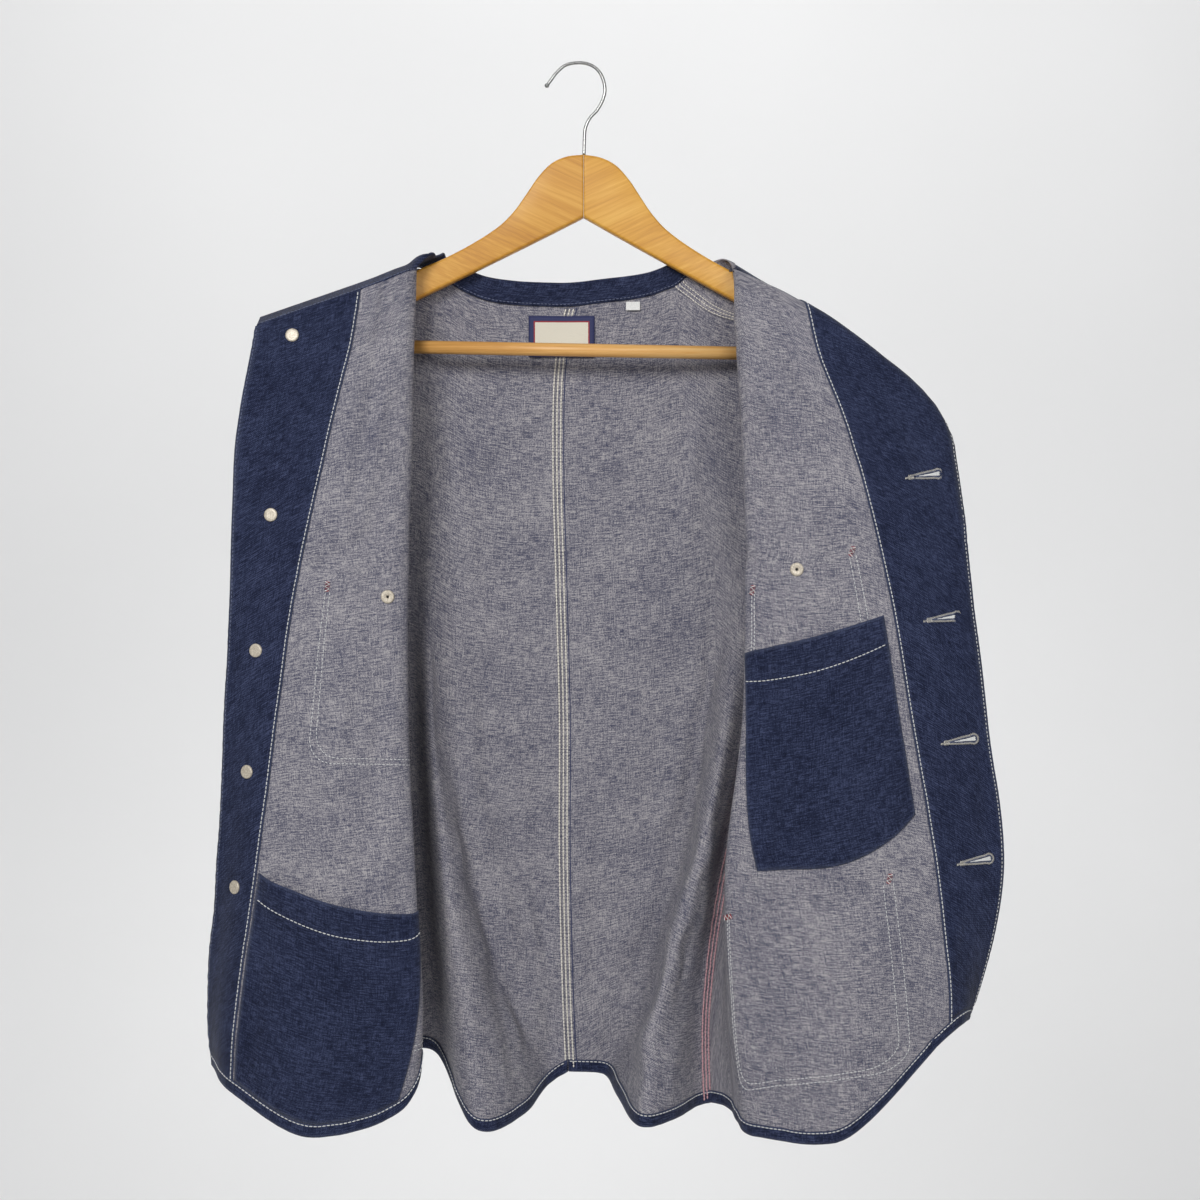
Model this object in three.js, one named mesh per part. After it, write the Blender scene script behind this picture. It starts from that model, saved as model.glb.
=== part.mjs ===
// A collarless denim chore jacket on a wooden hanger, both fronts thrown open and turned outwards.
// Millimetres. X is the viewer's right, Y points away from the viewer, Z is up.
// The origin is the inside top of the hanger hook, where the jacket is hung up.
// Right and left in the names are the wearer's: the right front is on the viewer's left.
import * as THREE from 'three';

// Cloth and seam sizes
const CLOTH = 1.5;
const PATCH_CLOTH = 1.2;
const BAND_CLOTH = 2.2;
const LABEL_CLOTH = 0.7;
const SEAM_GAP = 0.3;
const POCKET_CLEAR = 0.7;
const STRIP_CLEAR = 0.45;
const FACING_CLEAR = 0.7;
const FLOPPED_FACING_CLEAR = 1.2;
const LEFT_SHOULDER_GAP = 1.1;
const RIGHT_SHOULDER_GAP = 0.6;
const HEM_HEIGHT = 11;
const BAND_HEIGHT = 22;

// Hanger sizes
const HANGER_CENTRE = 5;
const ARM_REACH = 212;
const ARM_THICK = 12;
const ARM_SWEEP = 25;
const HANGER_TILT = 0.03;
const BAR_RADIUS = 6;
const BAR_REACH = 197;
const BAR_HEIGHT = -265.5;
const BAR_TILT = 0.019;
const WIRE_RADIUS = 1.5;

// The curves over which the cloth turns, in x and z: the shoulders on the arms, from the neck outwards,
// and the soft fold at the top of the left front
const SHOULDER = {
  radius: 10,
  fade: 6,
  right: { x: [-232, -215, -180, -150, -124, -60], z: [-236, -223, -202, -187, -176, -145] },
  left: { x: [60, 110, 136, 163, 190, 215, 232], z: [-142, -168, -182, -199, -216, -233, -246] },
};
const TOP_FOLD = {
  radius: 7,
  x: [120, 134, 162, 216, 268, 309, 329, 337],
  z: [-185, -192, -207, -238, -277, -314, -349, -390],
};

// The armhole is a tall oval, from the shoulder point down to the underarm
const ARMHOLE = { top: -240, bottom: -480, x: 228.4, flare: 2, y: -18, halfDepth: 24 };

const COLOUR = {
  wrongSide: 0x82808a, rightSide: 0x2f3550, wood: 0xc78d3c, paleWood: 0xdaa04b, barWood: 0xe5af6f,
  wire: 0x9a9a98, tack: 0xe1d2be, button: 0x8a7a5c, label: 0xe8e0cc, tag: 0xf2f2ee,
};

// Each panel has named stations across it, and levels down it. A station holds [x, y] at each level.
// The top and hem rows give the height where the panel starts and ends at each station.
const BACK_RIGHT = {
  stations: ['seam', 'turn', 'foot', 'crest', 'slope', 'valley', 'centre'],
  top: { seam: -240, turn: -213, foot: -190, crest: -198, slope: -213, valley: -219, centre: -220 },
  hem: { seam: -922, turn: -918, foot: -908, crest: -961, slope: -957, valley: -941, centre: -929 },
  levels: [
    { z: -180, seam: [-229, -2], turn: [-195, -13], foot: [-150, -4], crest: [-122, 0], slope: [-90, 5],
      valley: [-50, 8], centre: [2, 12] },
    { z: -260, seam: [-229, 2], turn: [-200, -2], foot: [-155, 6], crest: [-125, 10], slope: [-95, 12],
      valley: [-60, 13], centre: [-18, 14] },
    { z: -350, seam: [-229, 6], turn: [-195, 7], foot: [-155, 11], crest: [-128, 12], slope: [-95, 13],
      valley: [-60, 14], centre: [-22, 14] },
    { z: -480, seam: [-231, -18], turn: [-202, 4], foot: [-160, 10], crest: [-136, 2], slope: [-110, 10],
      valley: [-70, 15], centre: [-19, 15] },
    { z: -600, seam: [-222, -8], turn: [-194, 9], foot: [-155, 10], crest: [-134, -16], slope: [-112, 2],
      valley: [-75, 15], centre: [-16, 16] },
    { z: -730, seam: [-218, -2], turn: [-188, 13], foot: [-145, 6], crest: [-121, -38], slope: [-92, -8],
      valley: [-60, 14], centre: [-16, 16] },
    { z: -860, seam: [-216, 2], turn: [-182, 17], foot: [-134, 2], crest: [-100, -58], slope: [-62, -22],
      valley: [-34, 8], centre: [-13, 15] },
    { z: -965, seam: [-215, 4], turn: [-176, 19], foot: [-126, -2], crest: [-90, -68], slope: [-50, -38],
      valley: [-30, 6], centre: [-8, 14] },
  ],
};

const BACK_LEFT = {
  stations: ['centre', 'flat', 'flank', 'ridge', 'foot', 'turn', 'seam'],
  top: { centre: -220, flat: -212, flank: -203.5, ridge: -223, foot: -237, turn: -236, seam: -240 },
  hem: { centre: -929, flat: -932, flank: -941, ridge: -953, foot: -951, turn: -948, seam: -947 },
  levels: [
    { z: -180, centre: [2, 12], flat: [60, 9], flank: [92, 5], ridge: [120, 0], foot: [160, -7],
      turn: [195, -14], seam: [229, -2] },
    { z: -260, centre: [-18, 14], flat: [60, 14], flank: [95, 11], ridge: [128, 6], foot: [165, -1],
      turn: [200, -8], seam: [229, 2] },
    { z: -350, centre: [-22, 14], flat: [65, 15], flank: [105, 14], ridge: [138, 12], foot: [172, 9],
      turn: [203, 7], seam: [229, 6] },
    { z: -480, centre: [-19, 15], flat: [100, 14], flank: [128, 12], ridge: [152, 4], foot: [180, 4],
      turn: [208, 0], seam: [231, -18] },
    { z: -600, centre: [-16, 16], flat: [100, 14], flank: [117, 4], ridge: [134, -24], foot: [152, -12],
      turn: [172, 4], seam: [188, -8] },
    { z: -730, centre: [-16, 16], flat: [76, 14], flank: [90, -8], ridge: [106, -50], foot: [120, -36],
      turn: [130, -14], seam: [142, -12] },
    { z: -860, centre: [-13, 15], flat: [38, 14], flank: [52, -18], ridge: [66, -78], foot: [90, -66],
      turn: [107, -38], seam: [120, -28] },
    { z: -965, centre: [-8, 14], flat: [18, 13], flank: [32, -34], ridge: [54, -94], foot: [84, -76],
      turn: [106, -42], seam: [121, -30] },
  ],
};

const FRONT_RIGHT = {
  stations: ['seam', 'mid', 'neck', 'roll', 'lip', 'flap', 'face', 'edge'],
  top: { seam: -240, mid: -206, neck: -189, roll: -195, lip: -198, flap: -207, face: -217, edge: -250 },
  hem: { seam: -922, mid: -912, neck: -903, roll: -899, lip: -938, flap: -957, face: -922, edge: -905 },
  levels: [
    { z: -180, seam: [-229, -34], mid: [-186, -28], neck: [-150, -22], roll: [-146, -34], lip: [-151, -45],
      flap: [-168, -54], face: [-188, -60], edge: [-276, -62] },
    { z: -260, seam: [-229, -40], mid: [-200, -41], neck: [-160, -42], roll: [-147, -50], lip: [-153, -61],
      flap: [-175, -67], face: [-198, -72], edge: [-287, -70] },
    { z: -350, seam: [-229, -42], mid: [-200, -44], neck: [-162, -47], roll: [-148, -58], lip: [-155, -70],
      flap: [-183, -76], face: [-218, -82], edge: [-301, -76] },
    { z: -480, seam: [-231, -18], mid: [-202, -40], neck: [-166, -54], roll: [-151, -67], lip: [-159, -80],
      flap: [-200, -88], face: [-245, -92], edge: [-306, -80] },
    { z: -600, seam: [-222, -8], mid: [-197, -38], neck: [-164, -62], roll: [-150, -77], lip: [-158, -91],
      flap: [-206, -98], face: [-262, -98], edge: [-311, -80] },
    { z: -730, seam: [-218, -2], mid: [-192, -38], neck: [-158, -68], roll: [-143, -85], lip: [-152, -99],
      flap: [-212, -106], face: [-278, -102], edge: [-317, -76] },
    { z: -860, seam: [-216, 2], mid: [-188, -42], neck: [-152, -76], roll: [-136, -92], lip: [-148, -107],
      flap: [-220, -112], face: [-296, -102], edge: [-327, -66] },
    { z: -965, seam: [-215, 4], mid: [-186, -44], neck: [-156, -80], roll: [-142, -96], lip: [-160, -110],
      flap: [-235, -113], face: [-302, -98], edge: [-317, -56] },
  ],
};

const FRONT_LEFT = {
  stations: ['seam', 'mid', 'neck', 'roll', 'lip', 'flap', 'face', 'edge'],
  top: { seam: -240, mid: -164, neck: -125, roll: -188, lip: -193, flap: -200, face: -212, edge: -252 },
  hem: { seam: -947, mid: -947, neck: -950, roll: -956, lip: -964, flap: -957, face: -871, edge: -862 },
  levels: [
    { z: -180, seam: [229, -34], mid: [197, -31], neck: [139, -21], roll: [139, -36], lip: [144, -46],
      flap: [166, -56], face: [189, -66], edge: [292, -68] },
    { z: -260, seam: [229, -40], mid: [198, -41], neck: [156, -42], roll: [142, -50], lip: [149, -62],
      flap: [175, -70], face: [206, -77], edge: [302, -76] },
    { z: -350, seam: [229, -42], mid: [199, -44], neck: [161, -47], roll: [147, -58], lip: [155, -70],
      flap: [190, -80], face: [239, -87], edge: [327, -84] },
    { z: -480, seam: [231, -18], mid: [202, -40], neck: [165, -54], roll: [149, -67], lip: [158, -80],
      flap: [206, -90], face: [271, -95], edge: [342, -90] },
    { z: -600, seam: [188, -8], mid: [180, -34], neck: [158, -60], roll: [146, -75], lip: [155, -88],
      flap: [214, -97], face: [291, -99], edge: [359, -92] },
    { z: -730, seam: [142, -12], mid: [145, -36], neck: [138, -60], roll: [131, -77], lip: [142, -91],
      flap: [218, -103], face: [312, -103], edge: [373, -92] },
    { z: -860, seam: [120, -28], mid: [130, -43], neck: [133, -58], roll: [135, -73], lip: [147, -89],
      flap: [228, -108], face: [323, -104], edge: [346, -74] },
    { z: -965, seam: [121, -30], mid: [133, -40], neck: [141, -50], roll: [145, -63], lip: [160, -84],
      flap: [238, -110], face: [318, -92], edge: [298, -40] },
  ],
};

// Grid steps: columns between two stations, rows down a panel, and the heights next to a turn
const COLUMNS_PER_STATION = 3;
const PANEL_ROWS = 14;
const SLEEVE_COLUMNS = 16;

// Steps in a search by halving, and how far below a top edge such a search begins
const HALVINGS = 26;
const SEARCH_DEPTH = 240;

const TURN_STEPS = [3.5, 8, 14];

// Sleeve rings: the outer and the inner point of each ring, and its half depth front to back
const SLEEVE_RINGS = [
  { outer: [-230.6, -240], inner: [-232.8, -480], halfDepth: 24 },
  { outer: [-254, -261], inner: [-235, -486], halfDepth: 29 },
  { outer: [-280, -304], inner: [-237, -494], halfDepth: 34 },
  { outer: [-300, -366], inner: [-238, -508], halfDepth: 37 },
  { outer: [-306, -456], inner: [-238, -542], halfDepth: 38 },
  { outer: [-307, -560], inner: [-239, -592], halfDepth: 38 },
  { outer: [-306, -660], inner: [-240, -670], halfDepth: 37 },
  { outer: [-304, -750], inner: [-241, -750], halfDepth: 35 },
  { outer: [-303, -800], inner: [-242, -800], halfDepth: 34 },
];
const CUFF_RINGS = [
  { outer: [-303, -800.3], inner: [-242, -800.3], halfDepth: 34 },
  { outer: [-303, -850], inner: [-242, -850], halfDepth: 34 },
];

// The hanger arm's outline: distance from the centre joint, top and bottom height
const ARM_OUTLINE = [
  { d: 0.15, top: -83.6, bottom: -141.3 }, { d: 16, top: -86, bottom: -149.9 },
  { d: 30, top: -93, bottom: -157.5 }, { d: 42, top: -106, bottom: -164 },
  { d: 52, top: -121, bottom: -169.4 }, { d: 63, top: -137, bottom: -175.3 },
  { d: 76, top: -151, bottom: -182.3 }, { d: 98, top: -167, bottom: -194.2 },
  { d: 125, top: -183, bottom: -208.8 }, { d: 150, top: -195.5, bottom: -222.3 },
  { d: 180, top: -212.5, bottom: -238.5 }, { d: 197.5, top: -223, bottom: -248 },
  { d: 198.3, top: -223.5, bottom: -275 }, { d: 207, top: -231, bottom: -276 },
  { d: 212, top: -240, bottom: -271 },
];

// Points of the hook wire's centre line, [x, z]
const HOOK_ROUTE = [
  [5.3, -83.2], [5.6, -70], [6.6, -58.5], [10.8, -49.3], [17.2, -42.3], [22.4, -33], [24.6, -23.5],
  [22.4, -12.5], [17.4, -4.6], [10, 0], [0, 1.5], [-11.4, -0.6], [-19.6, -7.2], [-25, -14.3], [-28.8, -19.4],
];

// Pockets on the fronts: the first and last station, and the heights of the edges at those two.
// A corner lifts the bottom edge past a station, by so much for each station.
const POCKETS = {
  chest_pocket_left: { from: 3.8, to: 5.72, top: [-484, -448], bottom: [-648, -612] },
  hip_pocket_left: { from: 3.6, to: 5.62, top: [-772, -733], bottom: [-930, -900] },
  inner_pocket_left: { from: 3.5, to: 5.88, top: [-540, -506], bottom: [-733, -722],
    corner: { from: 5.2, rise: 60 } },
  chest_pocket_right: { from: 1.8, to: 5.5, top: [-478, -482], bottom: [-642, -636] },
  hip_pocket_right: { from: 1.8, to: 5.75, top: [-752, -738], bottom: [-880, -892] },
  inner_pocket_right: { from: 4, to: 5.97, top: [-762, -730] },
};

// Where the tacks and buttons sit, [x, z] on the open front
const RIGHT_TACKS = [[-252, -259], [-269, -418], [-281, -537], [-288, -643], [-298, -744]];
const TACK = { radius: 6, height: 1.8 };
const TACK_STAND = 0.4;
const BUTTON_STAND = 0.8;
const BUTTON = { radius: 8.5, height: 3.4 };
const POCKET_TACKS = { right: [-167, -490], left: [193, -466] };
const POCKET_BUTTON = { radius: 7, height: 3 };

const LABEL = { left: -46, right: 15, top: -230, bottom: -268 };
const SIZE_TAG = { left: 44, right: 57, top: -217, bottom: -225 };

// Cubic interpolation through values at rising knots
function smooth(knots, values, at) {
  const last = knots.length - 1;
  let i = 0;
  while (i < last - 1 && at > knots[i + 1]) i += 1;
  const span = knots[i + 1] - knots[i];
  const t = (at - knots[i]) / span;
  const slope = (j) => {
    const a = Math.max(j - 1, 0);
    const b = Math.min(j + 1, last);
    return (values[b] - values[a]) / (knots[b] - knots[a]);
  };
  const t2 = t * t;
  const t3 = t2 * t;
  return (2 * t3 - 3 * t2 + 1) * values[i] + (t3 - 2 * t2 + t) * span * slope(i)
    + (3 * t2 - 2 * t3) * values[i + 1] + (t3 - t2) * span * slope(i + 1);
}

function armDepth(x) {
  return -ARM_SWEEP * ((x - HANGER_CENTRE) / ARM_REACH) ** 2;
}

function armholeY(z, side) {
  const middle = (ARMHOLE.top + ARMHOLE.bottom) / 2;
  const half = (ARMHOLE.top - ARMHOLE.bottom) / 2;
  const reach = Math.min(1, Math.abs(z - middle) / half);
  return ARMHOLE.y + side * ARMHOLE.halfDepth * Math.sqrt(1 - reach * reach);
}

// Turns what lies above a curve over to the back, round a small radius.
// The curve runs in x and z, and depth is measured along y.
function turnOver(curve, radius, x, z) {
  const span = 1;
  const heightOf = (at) => smooth(curve.x, curve.z, at);
  const rise = (heightOf(x + span) - heightOf(x - span)) / (2 * span);
  const length = Math.hypot(1, rise);
  const nx = -rise / length;
  const nz = 1 / length;
  const above = (z - heightOf(x)) * nz;
  const quarter = (Math.PI / 2) * radius;
  if (above <= -quarter) return { x, z, back: 0 };
  const angle = Math.min(Math.max(-above / radius, -Math.PI / 2), Math.PI / 2);
  const past = Math.max(above - quarter, 0);
  const drop = radius * (1 - Math.cos(angle)) + past;
  return {
    x: x + nx * (-drop - above),
    z: z + nz * (-drop - above),
    back: radius * (1 - Math.sin(angle)),
  };
}

// A panel's surface: station number k across, height z down, before anything is turned over
function panelFlat(table, k, z, seamSide) {
  const knots = table.stations.map((name, i) => i);
  const heights = table.levels.map((row) => -row.z);
  const below = table.levels.findIndex((row) => row.z === ARMHOLE.bottom);
  const columns = table.stations.map((name) => {
    const first = name === 'seam' ? below : 0;
    const rows = table.levels.slice(first);
    const at = (axis) => smooth(heights.slice(first), rows.map((row) => row[name][axis]), -z);
    if (name !== 'seam' || z < ARMHOLE.bottom) return [at(0), at(1)];
    const down = (ARMHOLE.top - z) / (ARMHOLE.top - ARMHOLE.bottom);
    return [Math.sign(rows[0][name][0]) * (ARMHOLE.x + ARMHOLE.flare * down), armholeY(z, seamSide)];
  });
  return [smooth(knots, columns.map((c) => c[0]), k), smooth(knots, columns.map((c) => c[1]), k)];
}

function heightAt(table, k, row) {
  return smooth(table.stations.map((name, i) => i), table.stations.map((name) => table[row][name]), k);
}

// The station number on an open front where x is reached at height z
function stationAt(table, x, z) {
  let low = 3;
  let high = 7;
  const rising = panelFlat(table, high, z, -1)[0] > panelFlat(table, low, z, -1)[0];
  for (let i = 0; i < HALVINGS; i += 1) {
    const middle = (low + high) / 2;
    const reached = panelFlat(table, middle, z, -1)[0] > x;
    if (reached === rising) high = middle;
    else low = middle;
  }
  return (low + high) / 2;
}

// How far a point at x still lies on the arm, from 1 down to 0 at the shoulder point
function onArm(x) {
  return Math.min(Math.max((ARMHOLE.x - Math.abs(x)) / SHOULDER.fade, 0), 1);
}

// The right back rises over its arm to the shoulder seam
function backPoint(table, side, k, z) {
  const [x, y] = panelFlat(table, k, z, 1);
  if (side === 'left') return new THREE.Vector3(x, y, z);
  const turned = turnOver(SHOULDER.right, SHOULDER.radius, x, z);
  return new THREE.Vector3(x, y - turned.back * onArm(x), z);
}

// A front lies over its hanger arm, and the left one's top corner flops over behind
function frontPoint(table, side, k, z) {
  const [x, y] = panelFlat(table, k, z, -1);
  const rollStation = 3;
  if (k <= rollStation) {
    const turned = turnOver(SHOULDER[side], SHOULDER.radius, x, z);
    if (turned.back === 0) return new THREE.Vector3(x, y, z);
    const front = armDepth(turned.x) - SHOULDER.radius;
    const blend = Math.min(turned.back / SHOULDER.radius, 1);
    const rounded = new THREE.Vector3(turned.x, y + (front - y) * blend + turned.back, turned.z);
    return new THREE.Vector3(x, y, z).lerp(rounded, onArm(x));
  }
  if (side === 'right') return new THREE.Vector3(x, y, z);
  const turned = turnOver(TOP_FOLD, TOP_FOLD.radius, x, z);
  if (turned.back === 0) return new THREE.Vector3(x, y, z);
  const below = stationAt(table, turned.x, turned.z);
  const flapY = panelFlat(table, below, turned.z, -1)[1];
  return new THREE.Vector3(turned.x, flapY + turned.back, turned.z);
}

// The unit normal of a surface at share u across and v down
function normalAt(pointAt, u, v) {
  const step = 1e-3;
  const across = pointAt(Math.min(u + step, 1), v).sub(pointAt(Math.max(u - step, 0), v));
  const down = pointAt(u, Math.min(v + step, 1)).sub(pointAt(u, Math.max(v - step, 0)));
  return across.cross(down).normalize();
}

// A grid of points with their normals, row by row
function surfaceGrid(pointAt, columns, rows) {
  const cells = [];
  for (let j = 0; j <= rows; j += 1) {
    const row = [];
    for (let i = 0; i <= columns; i += 1) {
      const u = i / columns;
      const v = j / rows;
      row.push({ point: pointAt(u, v), normal: normalAt(pointAt, u, v) });
    }
    cells.push(row);
  }
  return cells;
}

// A sheet of cloth over a grid, moved out along its normals: lift is the height of its middle
function thicken(cells, thickness, lift) {
  const inner = [];
  const outer = [];
  cells.forEach((row) => row.forEach(({ point, normal }) => {
    inner.push(point.clone().addScaledVector(normal, lift + thickness / 2));
    outer.push(point.clone().addScaledVector(normal, lift - thickness / 2));
  }));
  return closeSheet(inner, outer, cells[0].length - 1, cells.length - 1, false);
}

// Joins two grids of points into one closed body, with walls round the open edges
function closeSheet(inner, outer, columns, rows, round) {
  const wide = columns + 1;
  const faces = [];
  const quad = (a, b, c, d) => faces.push(a, b, c, a, c, d);
  const offset = inner.length;
  for (let j = 0; j < rows; j += 1) {
    for (let i = 0; i < columns; i += 1) {
      const next = round ? (i + 1) % columns : i + 1;
      const a = j * wide + i;
      const b = j * wide + next;
      const c = (j + 1) * wide + next;
      const d = (j + 1) * wide + i;
      quad(a, b, c, d);
      quad(offset + a, offset + d, offset + c, offset + b);
    }
  }
  for (let i = 0; i < columns; i += 1) {
    const next = round ? (i + 1) % columns : i + 1;
    const low = rows * wide;
    quad(next, i, offset + i, offset + next);
    quad(low + i, low + next, offset + low + next, offset + low + i);
  }
  for (let j = 0; j < rows && !round; j += 1) {
    const a = j * wide;
    const b = a + wide;
    quad(a, b, offset + b, offset + a);
    quad(b + columns, a + columns, offset + a + columns, offset + b + columns);
  }
  const points = inner.concat(outer);
  const used = [...new Set(faces)];
  const places = new Map(used.map((index, place) => [index, place]));
  const geometry = new THREE.BufferGeometry();
  const coordinates = used.flatMap((index) => points[index].toArray());
  geometry.setAttribute('position', new THREE.Float32BufferAttribute(coordinates, 3));
  geometry.setIndex(faces.map((index) => places.get(index)));
  return geometry;
}

function flipped(geometry) {
  const index = geometry.getIndex();
  for (let i = 0; i < index.count; i += 3) {
    const second = index.getX(i + 1);
    index.setX(i + 1, index.getX(i + 2));
    index.setX(i + 2, second);
  }
  return geometry;
}

const group = new THREE.Group();

function add(name, geometry, colour, roughness = 0.9, metalness = 0) {
  const material = new THREE.MeshStandardMaterial({ color: colour, roughness, metalness });
  const mesh = new THREE.Mesh(geometry, material);
  mesh.name = name;
  group.add(mesh);
  return mesh;
}

// The four body panels. Each has a surface (k, z) and a sign that points the normal to the inside.
const PANELS = {
  back_right: { table: BACK_RIGHT, at: (k, z) => backPoint(BACK_RIGHT, 'right', k, z), inside: -1 },
  back_left: { table: BACK_LEFT, at: (k, z) => backPoint(BACK_LEFT, 'left', k, z), inside: -1 },
  front_right: { table: FRONT_RIGHT, at: (k, z) => frontPoint(FRONT_RIGHT, 'right', k, z), inside: 1 },
  front_left: { table: FRONT_LEFT, at: (k, z) => frontPoint(FRONT_LEFT, 'left', k, z), inside: -1,
    curve: SHOULDER.left, flapCurve: TOP_FOLD },
};

// The height on column k where the surface turns over, found by halving
function turnHeight(name, k) {
  const panel = PANELS[name];
  const top = heightAt(panel.table, k, 'top');
  if (!panel.curve) return top;
  const curve = k <= 3 ? panel.curve : panel.flapCurve;
  let high = top;
  let low = top - SEARCH_DEPTH;
  for (let i = 0; i < HALVINGS; i += 1) {
    const z = (low + high) / 2;
    const [x] = panelFlat(panel.table, k, z, -1);
    if (z > smooth(curve.x, curve.z, x)) high = z;
    else low = z;
  }
  return low;
}

// Heights down one column: close together where the cloth turns over, then evenly to the hem
function columnHeights(name, k) {
  const panel = PANELS[name];
  const top = heightAt(panel.table, k, 'top') - SEAM_GAP;
  const hem = heightAt(panel.table, k, 'hem');
  const turn = Math.min(turnHeight(name, k), top - 2);
  const squeeze = Math.min(1, (top - turn) / (2 * TURN_STEPS[TURN_STEPS.length - 1]));
  const heights = [top];
  if (panel.curve) {
    TURN_STEPS.slice().reverse().forEach((step) => heights.push(turn + step * squeeze));
    heights.push(turn);
  }
  TURN_STEPS.forEach((step) => heights.push(turn - step));
  const from = heights[heights.length - 1];
  for (let j = 1; j <= PANEL_ROWS; j += 1) heights.push(from + (j / PANEL_ROWS) * (hem - from));
  return heights;
}

// At a seam the two cloths meet on a mitre, so both lean the same way there
function mitre(cell, ownNext, mate, mateNext) {
  const own = ownNext.clone().sub(cell.point).normalize();
  const other = mateNext.clone().sub(mate).normalize();
  const along = own.clone().sub(other).normalize();
  const across = cell.normal.clone().addScaledVector(along, -cell.normal.dot(along)).setZ(0).normalize();
  const reach = Math.min(1 / Math.max(own.dot(along), 0.5), 1.8);
  return {
    point: cell.point.clone().addScaledVector(along, SEAM_GAP / 2),
    normal: across.multiplyScalar(reach),
  };
}

// A panel's grid: its columns are thirds of a station
const grids = {};
function makeGrid(name) {
  const panel = PANELS[name];
  const last = panel.table.stations.length - 1;
  const columns = last * COLUMNS_PER_STATION;
  const down = [];
  for (let i = 0; i <= columns; i += 1) down.push(columnHeights(name, i / COLUMNS_PER_STATION));
  const rows = down[0].length;
  const place = (i, j) => panel.at(i / COLUMNS_PER_STATION, down[i][j]);
  const cells = [];
  for (let j = 0; j < rows; j += 1) {
    const row = [];
    for (let i = 0; i <= columns; i += 1) {
      const left = Math.max(i - 1, 0);
      const right = Math.min(i + 1, columns);
      const across = place(right, j).sub(place(left, j));
      const low = place(i, Math.min(j + 1, rows - 1)).sub(place(i, Math.max(j - 1, 0)));
      row.push({ point: place(i, j), normal: across.cross(low).normalize(), z: down[i][j] });
    }
    row[columns].normal.copy(row[columns - 1].normal);
    cells.push(row);
  }
  grids[name] = cells;
}

// The two panels share the seam at station a of one and station b of the other
function mitreSeam(nameA, a, nameB, b) {
  const share = (name, end) => (end === 0 ? 0 : PANELS[name].table.stations.length - 1);
  const step = 0.12;
  const near = (name, end) => Math.abs(share(name, end) - step);
  const atSeam = PANELS[nameA].table.stations[share(nameA, a)] === 'seam';
  grids[nameA].forEach((row) => {
    const cell = end(row, a);
    if (atSeam && cell.z > ARMHOLE.bottom) {
      cell.point.x -= Math.sign(cell.point.x) * SEAM_GAP;
      return;
    }
    const mate = PANELS[nameB].at(share(nameB, b), cell.z);
    const mateNext = PANELS[nameB].at(near(nameB, b), cell.z);
    const ownNext = PANELS[nameA].at(near(nameA, a), cell.z);
    Object.assign(cell, mitre(cell, ownNext, mate, mateNext));
  });
  function end(row, at) {
    return at === 0 ? row[0] : row[row.length - 1];
  }
}

// Lays a back's top row along a front's top edge, over the stretch where the two are sewn together.
// The cloths meet end to end in y on the right arm's crest, and in z behind the left arm.
function joinShoulder(back, backColumns, front, frontColumns, axis, away) {
  const edge = frontColumns.map((i) => grids[front][0][i]);
  edge.forEach((cell) => cell.normal.setComponent(axis, 0).normalize());
  const rising = edge[edge.length - 1].point.x > edge[0].point.x ? 1 : -1;
  backColumns.forEach((i) => {
    const cell = grids[back][0][i];
    let j = 0;
    while (j < edge.length - 2 && rising * edge[j + 1].point.x < rising * cell.point.x) j += 1;
    const share = (cell.point.x - edge[j].point.x) / (edge[j + 1].point.x - edge[j].point.x);
    const mate = mixCells(edge[j], edge[j + 1], share);
    const facing = Math.sign(mate.normal.dot(cell.normal)) || 1;
    cell.point.copy(mate.point).setComponent(axis, mate.point.getComponent(axis) + away);
    cell.normal.copy(mate.normal).multiplyScalar(facing).normalize();
    const low = grids[back][TURN_STEPS.length + 1][i];
    for (let r = 1; r <= TURN_STEPS.length; r += 1) {
      const z = cell.point.z + (low.z - cell.point.z) * (r / (TURN_STEPS.length + 1));
      const next = grids[back][r][i];
      next.point.copy(PANELS[back].at(i / COLUMNS_PER_STATION, z));
      next.z = z;
    }
  });
}

function bodyPanel(name) {
  add(name, thicken(grids[name], CLOTH, 0), COLOUR.wrongSide);
}

function mixCells(a, b, share) {
  return {
    point: a.point.clone().lerp(b.point, share),
    normal: a.normal.clone().lerp(b.normal, share),
    z: a.z + (b.z - a.z) * share,
  };
}

// The cell on column i of a grid at height z
function columnCell(name, i, z) {
  const cells = grids[name];
  let j = 0;
  while (j < cells.length - 2 && cells[j + 1][i].z > z) j += 1;
  const upper = cells[j][i];
  const lower = cells[j + 1][i];
  return mixCells(upper, lower, (upper.z - z) / (upper.z - lower.z));
}

// The cell at station k and height z, between two columns
function cellAt(name, k, z) {
  const place = k * COLUMNS_PER_STATION;
  const i = Math.min(Math.floor(place + 1e-6), grids[name][0].length - 2);
  return mixCells(columnCell(name, i, z), columnCell(name, i + 1, z), Math.max(place - i, 0));
}

function liftOn(name, side, thickness, clear = SEAM_GAP) {
  return side * PANELS[name].inside * (CLOTH / 2 + clear + thickness / 2);
}

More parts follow.
